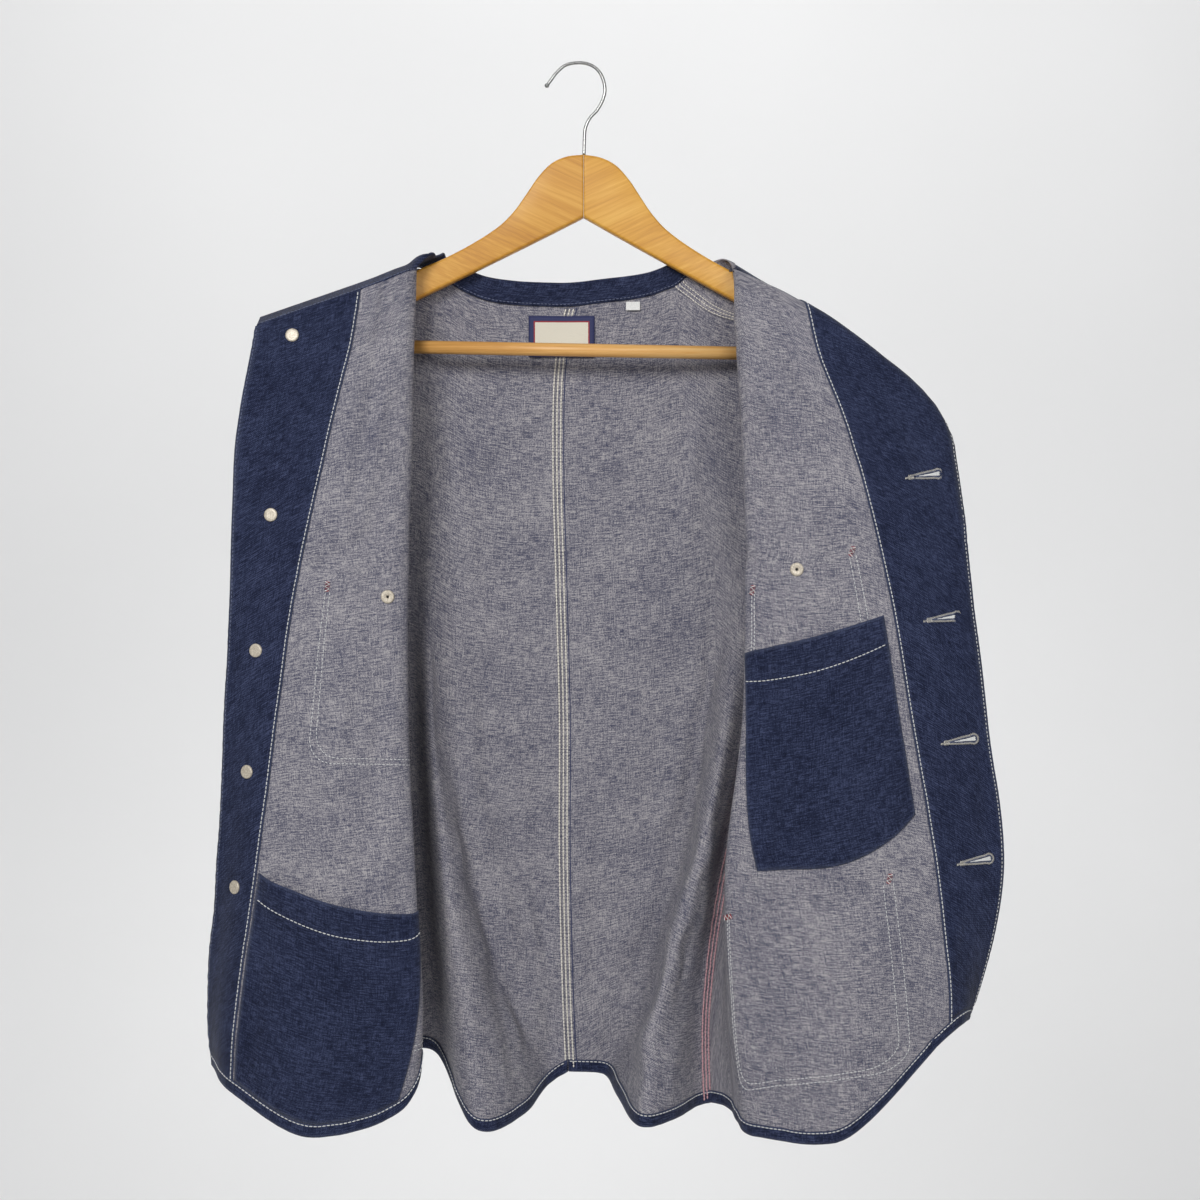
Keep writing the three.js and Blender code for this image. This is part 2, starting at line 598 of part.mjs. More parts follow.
// A layer on a panel, from its points moved in (side 1) or out (side -1).
// It runs from one station to another, and top and bottom give its heights at station k.
function layer(name, panelName, from, to, top, bottom, rows, side, clear = SEAM_GAP) {
  const stops = [from];
  for (let i = Math.floor(from * COLUMNS_PER_STATION + 1.05); i / COLUMNS_PER_STATION < to - 0.02; i += 1) {
    stops.push(i / COLUMNS_PER_STATION);
  }
  stops.push(to);
  const cells = [];
  for (let j = 0; j <= rows; j += 1) {
    cells.push(stops.map((k) => cellAt(panelName, k, top(k) + (j / rows) * (bottom(k) - top(k)))));
  }
  add(name, thicken(cells, PATCH_CLOTH, liftOn(panelName, side, PATCH_CLOTH, clear)), COLOUR.rightSide);
}

// The facing covers the last stretch of a front, from its top edge to the hem strip
function facing(name, panelName, clear) {
  const cells = grids[panelName].slice(0, -1).map((row) => row.slice(-COLUMNS_PER_STATION - 1));
  const hem = PANELS[panelName].table;
  const foot = cells[0].map((cell, i) => {
    const k = hem.stations.length - 2 + i / COLUMNS_PER_STATION;
    return cellAt(panelName, k, heightAt(hem, k, 'hem') + HEM_HEIGHT + 1);
  });
  cells.push(foot);
  add(name, thicken(cells, PATCH_CLOTH, liftOn(panelName, 1, PATCH_CLOTH, clear)), COLOUR.rightSide);
}

function hemStrip(name, panelName) {
  const table = PANELS[panelName].table;
  const last = table.stations.length - 1;
  const hem = (k) => heightAt(table, k, 'hem');
  const clear = 0.12;
  const to = panelName.startsWith('front') ? last : last - clear;
  layer(name, panelName, clear, to, (k) => hem(k) + HEM_HEIGHT, hem, 1, 1, STRIP_CLEAR);
}

// A patch's edges are straight between its corners, and it follows the stations across
function patch(name, panelName, shape, side) {
  const share = (k) => (k - shape.from) / (shape.to - shape.from);
  const mix = ([a, b], k) => a + (b - a) * share(k);
  const hem = (k) => heightAt(PANELS[panelName].table, k, 'hem') + HEM_HEIGHT + 1;
  const bottom = (k) => {
    if (!shape.bottom) return hem(k);
    const corner = shape.corner ? Math.max(0, k - shape.corner.from) * shape.corner.rise : 0;
    return mix(shape.bottom, k) + corner;
  };
  layer(name, panelName, shape.from, shape.to, (k) => mix(shape.top, k), bottom, 5, side, POCKET_CLEAR);
}

// The neck band stands on from the top edges of the right front and the backs, as far as the fold
// at the top of the left front
function neckBandRows() {
  const rows = [];
  const edge = (name, k, x, y, z) => rows.push(edgeRow(name, k, x, y, z));
  const over = (x, y, z, direction) => rows.push({ base: new THREE.Vector3(x, y, z), direction, clear: 0.1 });
  for (let k = 7; k > 3.9; k -= 0.5) edge('front_right', k, 0, 20, 10);
  edge('front_right', 3.67, 4, 14, 16);
  edge('front_right', 3.33, 10, 8, 15);
  edge('front_right', 3, 16, 3, 12);
  edge('front_right', 2.5, 19, 0, 8);
  edge('front_right', 2, 19, 0, 8);
  over(-145, -5, -187, leaning(18, 0, 10));
  over(-136, 1, -191, leaning(12, 0, 17));
  edge('back_right', 3.15, -2, -1, 21);
  for (let k = 3.6; k < 6.1; k += 0.6) edge('back_right', k, 0, -1, 22);
  for (let k = 0.4; k <= 1.6; k += 0.4) edge('back_left', k, 0, -1, 22);
  edge('front_left', 2, -6, 0, 21);
  edge('front_left', 2.33, -13, 2, 17);
  over(112, 6.5, -186, leaning(-12, 2, 14));
  over(122, 6.5, -184, leaning(-12, 2, 8));
  return rows;
}

// Behind the flopped corner the band goes on along the left front's top edge
function hiddenBandRows() {
  const rows = [];
  for (let k = 5; k <= 7; k += 0.5) rows.push(edgeRow('front_left', k, -6 * (k - 4.6), 2, -17));
  return rows;
}

function leaning(x, y, z) {
  return new THREE.Vector3(x, y, z).normalize().multiplyScalar(BAND_HEIGHT);
}

function edgeRow(name, k, x, y, z) {
  const panel = PANELS[name];
  const clear = name.startsWith('back') ? 0.05 : 0.1;
  return { base: panel.at(k, heightAt(panel.table, k, 'top')), direction: leaning(x, y, z), clear };
}

function neckBand(name, rows, columns) {
  const edgeCurve = (reach) => new THREE.CatmullRomCurve3(
    rows.map((row) => row.base.clone().addScaledVector(row.direction, reach(row))),
  );
  const upper = edgeCurve(() => 1);
  const lower = edgeCurve((row) => row.clear);
  const pointAt = (u, v) => upper.getPoint(u).lerp(lower.getPoint(u), v);
  add(name, thicken(surfaceGrid(pointAt, columns, 1), BAND_CLOTH, 0), COLOUR.rightSide);
}

// A tube of rings: columns go round, and the wall has real thickness and open ends
function ringTube(rings, mirror, columns, thickness) {
  const knots = rings.map((ring, i) => i);
  const value = (key, axis, k) => {
    const values = rings.map((ring) => (axis < 0 ? ring[key] : ring[key][axis]));
    return smooth(knots, values, k);
  };
  const rows = rings.length - 1;
  const ringPoint = (k, angle, shrink) => {
    const outer = new THREE.Vector3(value('outer', 0, k), ARMHOLE.y, value('outer', 1, k));
    const inner = new THREE.Vector3(value('inner', 0, k), ARMHOLE.y, value('inner', 1, k));
    const centre = outer.clone().add(inner).multiplyScalar(0.5);
    const half = outer.clone().sub(inner).multiplyScalar(0.5);
    const long = half.length() - shrink;
    const deep = value('halfDepth', -1, k) - shrink;
    const point = centre.addScaledVector(half.normalize(), Math.cos(angle) * long);
    point.y += Math.sin(angle) * deep;
    if (mirror) point.x = -point.x;
    return point;
  };
  const inner = [];
  const outer = [];
  for (let j = 0; j <= rows; j += 1) {
    for (let i = 0; i <= columns; i += 1) {
      const angle = (2 * Math.PI * i) / columns;
      inner.push(ringPoint(j, angle, thickness));
      outer.push(ringPoint(j, angle, 0));
    }
  }
  const geometry = closeSheet(inner, outer, columns, rows, true);
  return mirror ? geometry : flipped(geometry);
}

// A loft through closed sections of equal length, with flat ends
function loft(sections) {
  const count = sections[0].length;
  const coordinates = sections.flat().flatMap((point) => point.toArray());
  const faces = [];
  for (let s = 0; s < sections.length - 1; s += 1) {
    for (let i = 0; i < count; i += 1) {
      const next = (i + 1) % count;
      const a = s * count + i;
      const b = s * count + next;
      faces.push(a, b, b + count, a, b + count, a + count);
    }
  }
  const last = (sections.length - 1) * count;
  for (let i = 1; i < count - 1; i += 1) {
    faces.push(0, i + 1, i);
    faces.push(last, last + i, last + i + 1);
  }
  const geometry = new THREE.BufferGeometry();
  geometry.setAttribute('position', new THREE.Float32BufferAttribute(coordinates, 3));
  geometry.setIndex(faces);
  return geometry;
}

// An arm's section is a slab with bevelled edges
function hangerArm(name, side, colour) {
  const bevel = 3;
  const half = ARM_THICK / 2;
  const sections = ARM_OUTLINE.map((row) => {
    const x = HANGER_CENTRE + side * row.d;
    const y = armDepth(x);
    const corners = [
      [-half, row.top - bevel], [-half + bevel, row.top], [half - bevel, row.top], [half, row.top - bevel],
      [half, row.bottom + bevel], [half - bevel, row.bottom], [-half + bevel, row.bottom],
      [-half, row.bottom + bevel],
    ];
    const sink = HANGER_TILT * (x - HANGER_CENTRE);
    return corners.map(([dy, z]) => new THREE.Vector3(x, y + dy, z - sink));
  });
  const geometry = loft(sections);
  add(name, side > 0 ? flipped(geometry) : geometry, colour, 0.45);
}

function trouserBar() {
  const y = armDepth(HANGER_CENTRE + BAR_REACH);
  const bar = new THREE.CylinderGeometry(BAR_RADIUS, BAR_RADIUS, 2 * BAR_REACH, 14);
  bar.rotateZ(-Math.PI / 2);
  const mesh = add('trouser_bar', bar, COLOUR.barWood, 0.45);
  mesh.position.set(HANGER_CENTRE, y, BAR_HEIGHT);
  mesh.rotation.y = Math.atan(BAR_TILT);
}

function hangerHook() {
  const points = HOOK_ROUTE.map(([x, z]) => new THREE.Vector3(x, 0, z));
  const route = new THREE.CatmullRomCurve3(points);
  const section = new THREE.Shape();
  section.absarc(0, 0, WIRE_RADIUS, 0, 2 * Math.PI);
  const wire = new THREE.ExtrudeGeometry(section, { extrudePath: route, steps: 34, curveSegments: 4 });
  add('hanger_hook', wire, COLOUR.wire, 0.3, 1);
}

// A round stud standing on a panel, inside (side 1) or outside (side -1)
function stud(name, panelName, [x, z], shape, side, colour, base) {
  const panel = PANELS[panelName];
  const k = stationAt(panel.table, x, z);
  const centre = panel.at(k, z);
  const across = panel.at(k + 0.02, z).sub(panel.at(k - 0.02, z));
  const down = panel.at(k, z - 1).sub(panel.at(k, z + 1));
  const normal = across.cross(down).normalize().multiplyScalar(side * panel.inside);
  const dome = shape.height * 0.35;
  const profile = [
    [0, 0], [shape.radius * 0.9, 0], [shape.radius, dome], [shape.radius * 0.8, shape.height],
    [0, shape.height],
  ].map(([r, h]) => new THREE.Vector2(r, h));
  const mesh = add(name, new THREE.LatheGeometry(profile, 12), colour, 0.35, 0.6);
  mesh.position.copy(centre.addScaledVector(normal, CLOTH / 2 + base));
  mesh.quaternion.setFromUnitVectors(new THREE.Vector3(0, 1, 0), normal);
}

function buttons() {
  const seat = SEAM_GAP + BUTTON_STAND;
  const onFacing = FACING_CLEAR + PATCH_CLOTH + SEAM_GAP + TACK_STAND;
  RIGHT_TACKS.forEach((place, i) => {
    stud(`tack_${i + 1}`, 'front_right', place, TACK, 1, COLOUR.tack, onFacing);
    stud(`button_${i + 1}`, 'front_right', place, BUTTON, -1, COLOUR.button, seat);
  });
  const onPocket = SEAM_GAP + PATCH_CLOTH + seat;
  stud('pocket_tack_right', 'front_right', POCKET_TACKS.right, TACK, 1, COLOUR.tack, seat);
  stud('pocket_tack_left', 'front_left', POCKET_TACKS.left, TACK, 1, COLOUR.tack, seat);
  stud('pocket_button_right', 'front_right', POCKET_TACKS.right, POCKET_BUTTON, -1, COLOUR.button, onPocket);
  stud('pocket_button_left', 'front_left', POCKET_TACKS.left, POCKET_BUTTON, -1, COLOUR.button, onPocket);
}

// A small flat piece sewn to the inside of the back, given by its x and z edges
function backPatch(name, size, colour) {
  const onBack = (x, z) => {
    const left = x > panelFlat(BACK_LEFT, 0, z, 1)[0];
    const table = left ? BACK_LEFT : BACK_RIGHT;
    let low = 0;
    let high = table.stations.length - 1;
    for (let i = 0; i < HALVINGS; i += 1) {
      const middle = (low + high) / 2;
      if (panelFlat(table, middle, z, 1)[0] > x) high = middle;
      else low = middle;
    }
    return panelFlat(table, low, z, 1)[1];
  };
  const lift = CLOTH / 2 + 2 * SEAM_GAP + LABEL_CLOTH / 2;
  const pointAt = (u, v) => {
    const x = size.left + u * (size.right - size.left);
    const z = size.top + v * (size.bottom - size.top);
    return new THREE.Vector3(x, onBack(x, z) - lift, z);
  };
  add(name, thicken(surfaceGrid(pointAt, 4, 2), LABEL_CLOTH, 0), colour);
}

Object.keys(PANELS).forEach(makeGrid);
mitreSeam('back_right', 6, 'back_left', 0);
mitreSeam('back_left', 0, 'back_right', 6);
mitreSeam('back_right', 0, 'front_right', 0);
mitreSeam('front_right', 0, 'back_right', 0);
mitreSeam('back_left', 6, 'front_left', 0);
mitreSeam('front_left', 0, 'back_left', 6);

// The columns of each panel along its shoulder seam, from the shoulder point to the neck
const shoulderColumns = {
  front: [0, 1, 2, 3, 4, 5, 6],
  backRight: [1, 2, 3, 4, 5, 6],
  backLeft: [17, 16, 15, 14, 13, 12, 11, 10, 9, 8, 7, 6],
};
const AXIS_Y = 1;
const AXIS_Z = 2;
joinShoulder('back_right', shoulderColumns.backRight, 'front_right', shoulderColumns.front, AXIS_Y,
  RIGHT_SHOULDER_GAP);
joinShoulder('back_left', shoulderColumns.backLeft, 'front_left', shoulderColumns.front, AXIS_Z,
  -LEFT_SHOULDER_GAP);
Object.keys(PANELS).forEach(bodyPanel);
facing('facing_right', 'front_right', FACING_CLEAR);
facing('facing_left', 'front_left', FLOPPED_FACING_CLEAR);
hemStrip('hem_back_right', 'back_right');
hemStrip('hem_back_left', 'back_left');
hemStrip('hem_front_right', 'front_right');
hemStrip('hem_front_left', 'front_left');
neckBand('neck_band', neckBandRows(), 48);
neckBand('neck_band_left', hiddenBandRows(), 12);
Object.keys(POCKETS).forEach((name) => {
  const panelName = name.endsWith('left') ? 'front_left' : 'front_right';
  patch(name, panelName, POCKETS[name], name.startsWith('inner') ? 1 : -1);
});
add('sleeve_right', ringTube(SLEEVE_RINGS, false, SLEEVE_COLUMNS, CLOTH), COLOUR.rightSide);
add('sleeve_left', ringTube(SLEEVE_RINGS, true, SLEEVE_COLUMNS, CLOTH), COLOUR.rightSide);
add('cuff_right', ringTube(CUFF_RINGS, false, SLEEVE_COLUMNS, CLOTH), COLOUR.rightSide);
add('cuff_left', ringTube(CUFF_RINGS, true, SLEEVE_COLUMNS, CLOTH), COLOUR.rightSide);
buttons();
backPatch('neck_label', LABEL, COLOUR.label);
backPatch('size_tag', SIZE_TAG, COLOUR.tag);
hangerArm('hanger_arm_right', -1, COLOUR.wood);
hangerArm('hanger_arm_left', 1, COLOUR.paleWood);
trouserBar();
hangerHook();

export default group;
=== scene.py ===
import bisect
import math

import bmesh
import bpy
from mathutils import Matrix, Vector, noise


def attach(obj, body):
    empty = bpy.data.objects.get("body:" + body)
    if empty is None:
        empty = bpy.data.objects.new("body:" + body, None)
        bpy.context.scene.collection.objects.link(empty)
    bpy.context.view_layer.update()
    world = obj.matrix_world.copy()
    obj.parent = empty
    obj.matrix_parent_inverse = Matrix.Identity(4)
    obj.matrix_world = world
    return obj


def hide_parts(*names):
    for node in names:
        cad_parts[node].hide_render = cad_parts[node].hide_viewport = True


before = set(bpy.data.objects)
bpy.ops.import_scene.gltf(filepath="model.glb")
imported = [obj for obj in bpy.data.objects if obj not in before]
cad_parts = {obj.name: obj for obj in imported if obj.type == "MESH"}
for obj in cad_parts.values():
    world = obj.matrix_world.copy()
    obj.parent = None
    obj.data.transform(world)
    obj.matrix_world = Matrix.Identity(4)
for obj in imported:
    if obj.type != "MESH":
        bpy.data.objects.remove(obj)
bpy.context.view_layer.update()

MM = 0.001

# Cloth sizes
CLOTH = 1.3
PATCH_CLOTH = 1.0
BAND_CLOTH = 2.0
LABEL_CLOTH = 0.6
HEM_HEIGHT = 11
BAND_HEIGHT = 22
LAYER_CLEAR = 0.15
EDGE_DROP = 0.1
BAND_OVERLAP = 1.2
WORN_SHARE = 0.38
WORN_REACH = 3.0

# Heights over a panel's middle: a layer's own middle, its far side, and threads on either
LAYER = CLOTH / 2 + LAYER_CLEAR + PATCH_CLOTH / 2
ON_LAYER = CLOTH / 2 + LAYER_CLEAR + PATCH_CLOTH
ON_PANEL = CLOTH / 2 + 0.12
OVER_LAYER = ON_LAYER + 0.12
BUTTON_STAND = 0.8
POCKET_BUTTON_STAND = 0.4

# Hanger sizes
HANGER_CENTRE = 5
ARM_REACH = 212
ARM_THICK = 12
ARM_SWEEP = 25
HANGER_TILT = 0.03
BAR_RADIUS = 6
BAR_REACH = 197
BAR_HEIGHT = -265.5
BAR_TILT = 0.019
WIRE_RADIUS = 1.5

SHOULDER = {
    "radius": 10, "fade": 6,
    "right": ([-232, -215, -180, -150, -124, -60], [-236, -223, -202, -187, -176, -145]),
    "left": ([60, 110, 136, 163, 190, 215, 232], [-142, -168, -182, -199, -216, -233, -246]),
}
TOP_FOLD = {
    "radius": 7,
    "curve": ([120, 134, 162, 216, 268, 309, 329, 337, 350, 375, 405],
              [-185, -192, -207, -238, -277, -314, -349, -390, -440, -530, -640]),
}
# How far below a fold the cloth begins to rise to it
FOLD_RUN = 30
ARMHOLE = {"top": -240, "bottom": -480, "x": 228.4, "flare": 2, "y": -18, "half_depth": 24}

# Each panel has named stations across it, and levels down it, with [x, y] for each station
BACK_RIGHT = {
    "stations": ["seam", "turn", "foot", "crest", "slope", "valley", "centre"],
    "top": [-240, -213, -190, -198, -213, -219, -220],
    "hem": [-922, -918, -908, -961, -957, -941, -929],
    "levels": {
        -180: [(-229, -2), (-195, -13), (-150, -4), (-122, 0), (-90, 5), (-50, 8), (2, 12)],
        -260: [(-229, 2), (-200, -2), (-155, 6), (-125, 10), (-95, 12), (-60, 13), (-18, 14)],
        -350: [(-229, 6), (-195, 7), (-155, 11), (-128, 12), (-95, 13), (-60, 14), (-22, 14)],
        -480: [(-231, -18), (-202, 4), (-160, 10), (-136, 2), (-110, 10), (-70, 15), (-19, 15)],
        -600: [(-222, -8), (-194, 9), (-155, 10), (-134, -16), (-112, 2), (-75, 15), (-16, 16)],
        -730: [(-218, -2), (-188, 13), (-145, 6), (-121, -38), (-92, -8), (-60, 14), (-16, 16)],
        -860: [(-216, 2), (-182, 17), (-134, 2), (-100, -58), (-62, -22), (-34, 8), (-13, 15)],
        -965: [(-215, 4), (-176, 19), (-126, -2), (-90, -68), (-50, -38), (-30, 6), (-8, 14)],
    },
}
BACK_LEFT = {
    "stations": ["centre", "flat", "flank", "ridge", "foot", "turn", "seam"],
    "top": [-220, -212, -203.5, -223, -237, -236, -240],
    "hem": [-929, -932, -941, -953, -951, -948, -947],
    "levels": {
        -180: [(2, 12), (60, 9), (92, 5), (120, 0), (160, -7), (195, -14), (229, -2)],
        -260: [(-18, 14), (60, 14), (95, 11), (128, 6), (165, -1), (200, -8), (229, 2)],
        -350: [(-22, 14), (65, 15), (105, 14), (138, 12), (172, 9), (203, 7), (229, 6)],
        -480: [(-19, 15), (100, 14), (128, 12), (152, 4), (180, 4), (208, 0), (231, -18)],
        -600: [(-16, 16), (100, 14), (117, 4), (134, -24), (152, -12), (172, 4), (188, -8)],
        -730: [(-16, 16), (76, 14), (90, -8), (106, -50), (120, -36), (130, -14), (142, -12)],
        -860: [(-13, 15), (38, 14), (52, -18), (66, -78), (90, -66), (107, -38), (120, -28)],
        -965: [(-8, 14), (18, 13), (32, -34), (54, -94), (84, -76), (106, -42), (121, -30)],
    },
}
FRONT_STATIONS = ["seam", "mid", "neck", "roll", "lip", "flap", "face", "edge"]
FRONT_RIGHT = {
    "stations": FRONT_STATIONS,
    "top": [-240, -206, -189, -195, -198, -207, -217, -250],
    "hem": [-922, -912, -903, -899, -938, -957, -922, -905],
    "levels": {
        -180: [(-229, -34), (-186, -28), (-150, -22), (-146, -34), (-151, -45), (-168, -54), (-188, -60),
               (-276, -62)],
        -260: [(-229, -40), (-200, -41), (-160, -42), (-147, -50), (-153, -61), (-175, -67), (-198, -72),
               (-287, -70)],
        -350: [(-229, -42), (-200, -44), (-162, -47), (-148, -58), (-155, -70), (-183, -76), (-218, -82),
               (-301, -76)],
        -480: [(-231, -18), (-202, -40), (-166, -54), (-151, -67), (-159, -80), (-200, -88), (-245, -92),
               (-306, -80)],
        -600: [(-222, -8), (-197, -38), (-164, -62), (-150, -77), (-158, -91), (-206, -98), (-262, -98),
               (-311, -80)],
        -730: [(-218, -2), (-192, -38), (-158, -68), (-143, -85), (-152, -99), (-212, -106), (-278, -102),
               (-317, -76)],
        -860: [(-216, 2), (-188, -42), (-152, -76), (-136, -92), (-148, -107), (-220, -112), (-296, -102),
               (-327, -66)],
        -965: [(-215, 4), (-186, -44), (-156, -80), (-142, -96), (-160, -110), (-235, -113), (-302, -98),
               (-317, -56)],
    },
}
FRONT_LEFT = {
    "stations": FRONT_STATIONS,
    "top": [-240, -164, -125, -188, -193, -200, -212, -252],
    "hem": [-947, -947, -950, -956, -964, -957, -871, -862],
    "levels": {
        -180: [(229, -34), (197, -31), (139, -21), (139, -36), (144, -46), (166, -56), (189, -66),
               (292, -68)],
        -260: [(229, -40), (198, -41), (156, -42), (142, -50), (149, -62), (175, -70), (206, -77),
               (302, -76)],
        -350: [(229, -42), (199, -44), (161, -47), (147, -58), (155, -70), (190, -80), (239, -87),
               (327, -84)],
        -480: [(231, -18), (202, -40), (165, -54), (149, -67), (158, -80), (206, -90), (271, -95),
               (342, -90)],
        -600: [(188, -8), (180, -34), (158, -60), (146, -75), (155, -88), (214, -97), (291, -99), (359, -92)],
        -730: [(142, -12), (145, -36), (138, -60), (131, -77), (142, -91), (218, -103), (312, -103),
               (373, -92)],
        -860: [(120, -28), (130, -43), (133, -58), (135, -73), (147, -89), (228, -108), (323, -104),
               (346, -74)],
        -965: [(121, -30), (133, -40), (141, -50), (145, -63), (160, -84), (238, -110), (318, -92),
               (298, -40)],
    },
}
TABLES = {
    "back_right": BACK_RIGHT, "back_left": BACK_LEFT, "front_right": FRONT_RIGHT, "front_left": FRONT_LEFT,
}
SIDES = {"right": 1, "left": -1}

# The fine grids: columns a station, rows above and below the bend, and how far the bend is under the fold
FINE = 14
TOP_ROWS = 34
BODY_ROWS = 120
BEND_DROP = 20
# How far down a back's top follows the front's, the hem's pucker row, and the facing's first station
JOIN_REACH = 30
HEM_PUCKER = 6
FACING = 6

SLEEVE_RINGS = {
    "outer": [(-230.6, -240), (-254, -261), (-280, -304), (-300, -366), (-306, -456), (-307, -560),
              (-306, -660), (-304, -750), (-303, -800)],
    "inner": [(-232.8, -480), (-235, -486), (-237, -494), (-238, -508), (-238, -542), (-239, -592),
              (-240, -670), (-241, -750), (-242, -800)],
    "half_depth": [24, 29, 34, 37, 38, 38, 37, 35, 34],
}
CUFF_RINGS = {
    "outer": [(-303, -800.3), (-303, -850)], "inner": [(-242, -800.3), (-242, -850)], "half_depth": [34, 34],
}

ARM_OUTLINE = {
    "d": [0.15, 16, 30, 42, 52, 63, 76, 98, 125, 150, 180, 197.5],
    "top": [-83.6, -86, -93, -106, -121, -137, -151, -167, -183, -195.5, -212.5, -223],
    "bottom": [-141.3, -149.9, -157.5, -164, -169.4, -175.3, -182.3, -194.2, -208.8, -222.3, -238.5, -248],
}
ARM_END = {"d": [198.3, 207, 212], "top": [-223.5, -231, -240], "bottom": [-275, -276, -271]}
HOOK_ROUTE = [
    (5.3, -83.2), (5.6, -70), (6.6, -58.5), (10.8, -49.3), (17.2, -42.3), (22.4, -33), (24.6, -23.5),
    (22.4, -12.5), (17.4, -4.6), (10, 0), (0, 1.5), (-11.4, -0.6), (-19.6, -7.2), (-25, -14.3),
    (-28.8, -19.4),
]

POCKETS = {
    "chest_pocket_left": {"panel": "front_left", "from": 3.8, "to": 5.72, "top": (-484, -448),
                          "bottom": (-648, -612), "side": -1},
    "hip_pocket_left": {"panel": "front_left", "from": 3.6, "to": 5.62, "top": (-772, -733),
                        "bottom": (-930, -900), "side": -1},
    "inner_pocket_left": {"panel": "front_left", "from": 3.5, "to": 5.88, "top": (-540, -506),
                          "bottom": (-733, -722), "side": 1, "foot_from": 4.28, "sag": 6, "corner": (4.9, 43),
                          "gape": (1.6, 0.5)},
    "chest_pocket_right": {"panel": "front_right", "from": 1.8, "to": 5.5, "top": (-478, -482),
                           "bottom": (-642, -636), "side": -1},
    "hip_pocket_right": {"panel": "front_right", "from": 1.8, "to": 5.75, "top": (-752, -738),
                         "bottom": (-880, -892), "side": -1},
    "inner_pocket_right": {"panel": "front_right", "from": 3.3, "to": 5.97, "top": (-764, -730), "side": 1,
                           "foot_from": 4.0, "sag": 15, "gape": (5.5, 0.85)},
}
RIGHT_TACKS = [(-252, -259), (-269, -418), (-281, -537), (-288, -643), (-298, -744)]
POCKET_TACKS = {"right": (-167, -490), "left": (193, -466)}
LABEL = {"left": -46, "right": 15, "top": -230, "bottom": -268}
SIZE_TAG = {"left": 44, "right": 57, "top": -217, "bottom": -225}

# Creases: both ends in x and z, half width, and height (below 0 is a trough as the viewer sees it)
CREASES = {
    "back_right": [
        (-134, -560, -110, -700, 9, -1.6), (-100, -700, -60, -900, 10, -2.0),
        (-60, -300, -110, -330, 8, -1.2),
        (-30, -330, -100, -390, 10, -1.4), (-125, -330, -95, -470, 9, 1.5), (-70, -480, -50, -640, 12, 1.2),
        (-40, -660, -30, -830, 9, -1.4), (-90, -560, -82, -680, 8, -1.1), (-160, -400, -185, -560, 12, -2),
        (-190, -620, -170, -820, 12, 2), (-205, -300, -170, -420, 10, -1.8), (-30, -860, -20, -925, 7, -1.2),
        (-130, -240, -150, -300, 8, 1.4), (-75, -880, -62, -950, 7, 1.4), (-200, -860, -190, -915, 8, -1.5),
        (-133, -522, -99, -700, 9, -3.4), (-101, -690, -76, -790, 9, -5.6), (-78, -785, -38, -900, 10, -7.0),
        (-118, -800, -104, -930, 9, 1.8), (-52, -760, -24, -880, 9, 1.2),
    ],
    "back_left": [
        (40, -300, 105, -330, 9, -1.3), (20, -380, 110, -440, 12, -1.4), (110, -330, 92, -470, 9, 1.4),
        (60, -500, 40, -660, 12, 1.1), (78, -600, 66, -700, 7, -1.3), (20, -680, 14, -850, 9, -1.3),
        (96, -520, 100, -600, 8, -1.4), (150, -420, 175, -560, 12, -2), (60, -840, 44, -930, 7, -1.5),
        (160, -300, 190, -420, 10, -1.8), (84, -880, 80, -940, 6, 1.2), (30, -860, 24, -920, 6, -1.0),
        (118, -700, 108, -800, 7, 1.2), (60, -240, 30, -252, 7, 0.9),
        (128, -530, 105, -650, 8, -3.4), (106, -645, 80, -770, 9, -5.4), (80, -765, 37, -905, 10, -7.0),
        (116, -707, 81, -803, 8, 1.8), (81, -803, 55, -899, 8, 1.8), (100, -790, 92, -860, 7, -2.0),
    ],
    "front_right": [
        (-170, -300, -190, -420, 9, 1.6), (-158, -250, -240, -300, 10, -1.5),
        (-175, -430, -235, -470, 9, -1.3),
        (-200, -520, -215, -680, 13, 1.9), (-170, -560, -180, -700, 8, -1.5),
        (-250, -560, -262, -700, 9, -1.4),
        (-300, -300, -296, -380, 7, 1.0), (-302, -470, -306, -560, 6, -1.0), (-165, -700, -172, -860, 8, 1.6),
        (-230, -640, -240, -740, 11, -1.6), (-270, -780, -285, -900, 9, -1.4),
        (-200, -850, -215, -950, 9, -1.6),
        (-320, -700, -325, -820, 6, 1.0), (-165, -900, -180, -950, 7, 1.4), (-210, -250, -270, -268, 8, 1.0),
        (-200, -260, -205, -500, 12, 1.5), (-190, -700, -195, -880, 10, -1.4),
    ],
    "front_left": [
        (150, -260, 205, -330, 10, -1.6), (170, -300, 182, -450, 10, 1.8), (200, -330, 260, -380, 11, -1.4),
        (165, -520, 175, -640, 9, -1.6), (215, -420, 240, -480, 9, -1.2), (270, -330, 300, -400, 8, 1.2),
        (230, -620, 236, -730, 11, 1.4), (180, -640, 186, -720, 8, -1.2), (160, -700, 170, -850, 9, 1.8),
        (200, -740, 206, -880, 12, -1.8), (250, -760, 262, -900, 12, 1.6), (285, -640, 296, -720, 8, -1.3),
        (330, -440, 340, -560, 7, 1.1), (350, -600, 362, -720, 7, -1.1), (330, -760, 318, -850, 8, 1.3),
        (170, -880, 182, -960, 8, -1.6), (220, -900, 226, -965, 9, 1.6), (300, -860, 310, -880, 6, -1.0),
        (140, -440, 180, -500, 8, -1.1), (200, -260, 205, -500, 12, 1.2), (190, -600, 170, -820, 10, -1.4),
    ],
}

# How the creases look: depth, fade past their ends, reach in half widths, bow and its bends
CREASE = {"depth": 1.9, "tail": 0.25, "reach": 2.6, "bow": 0.35, "bends": 9}


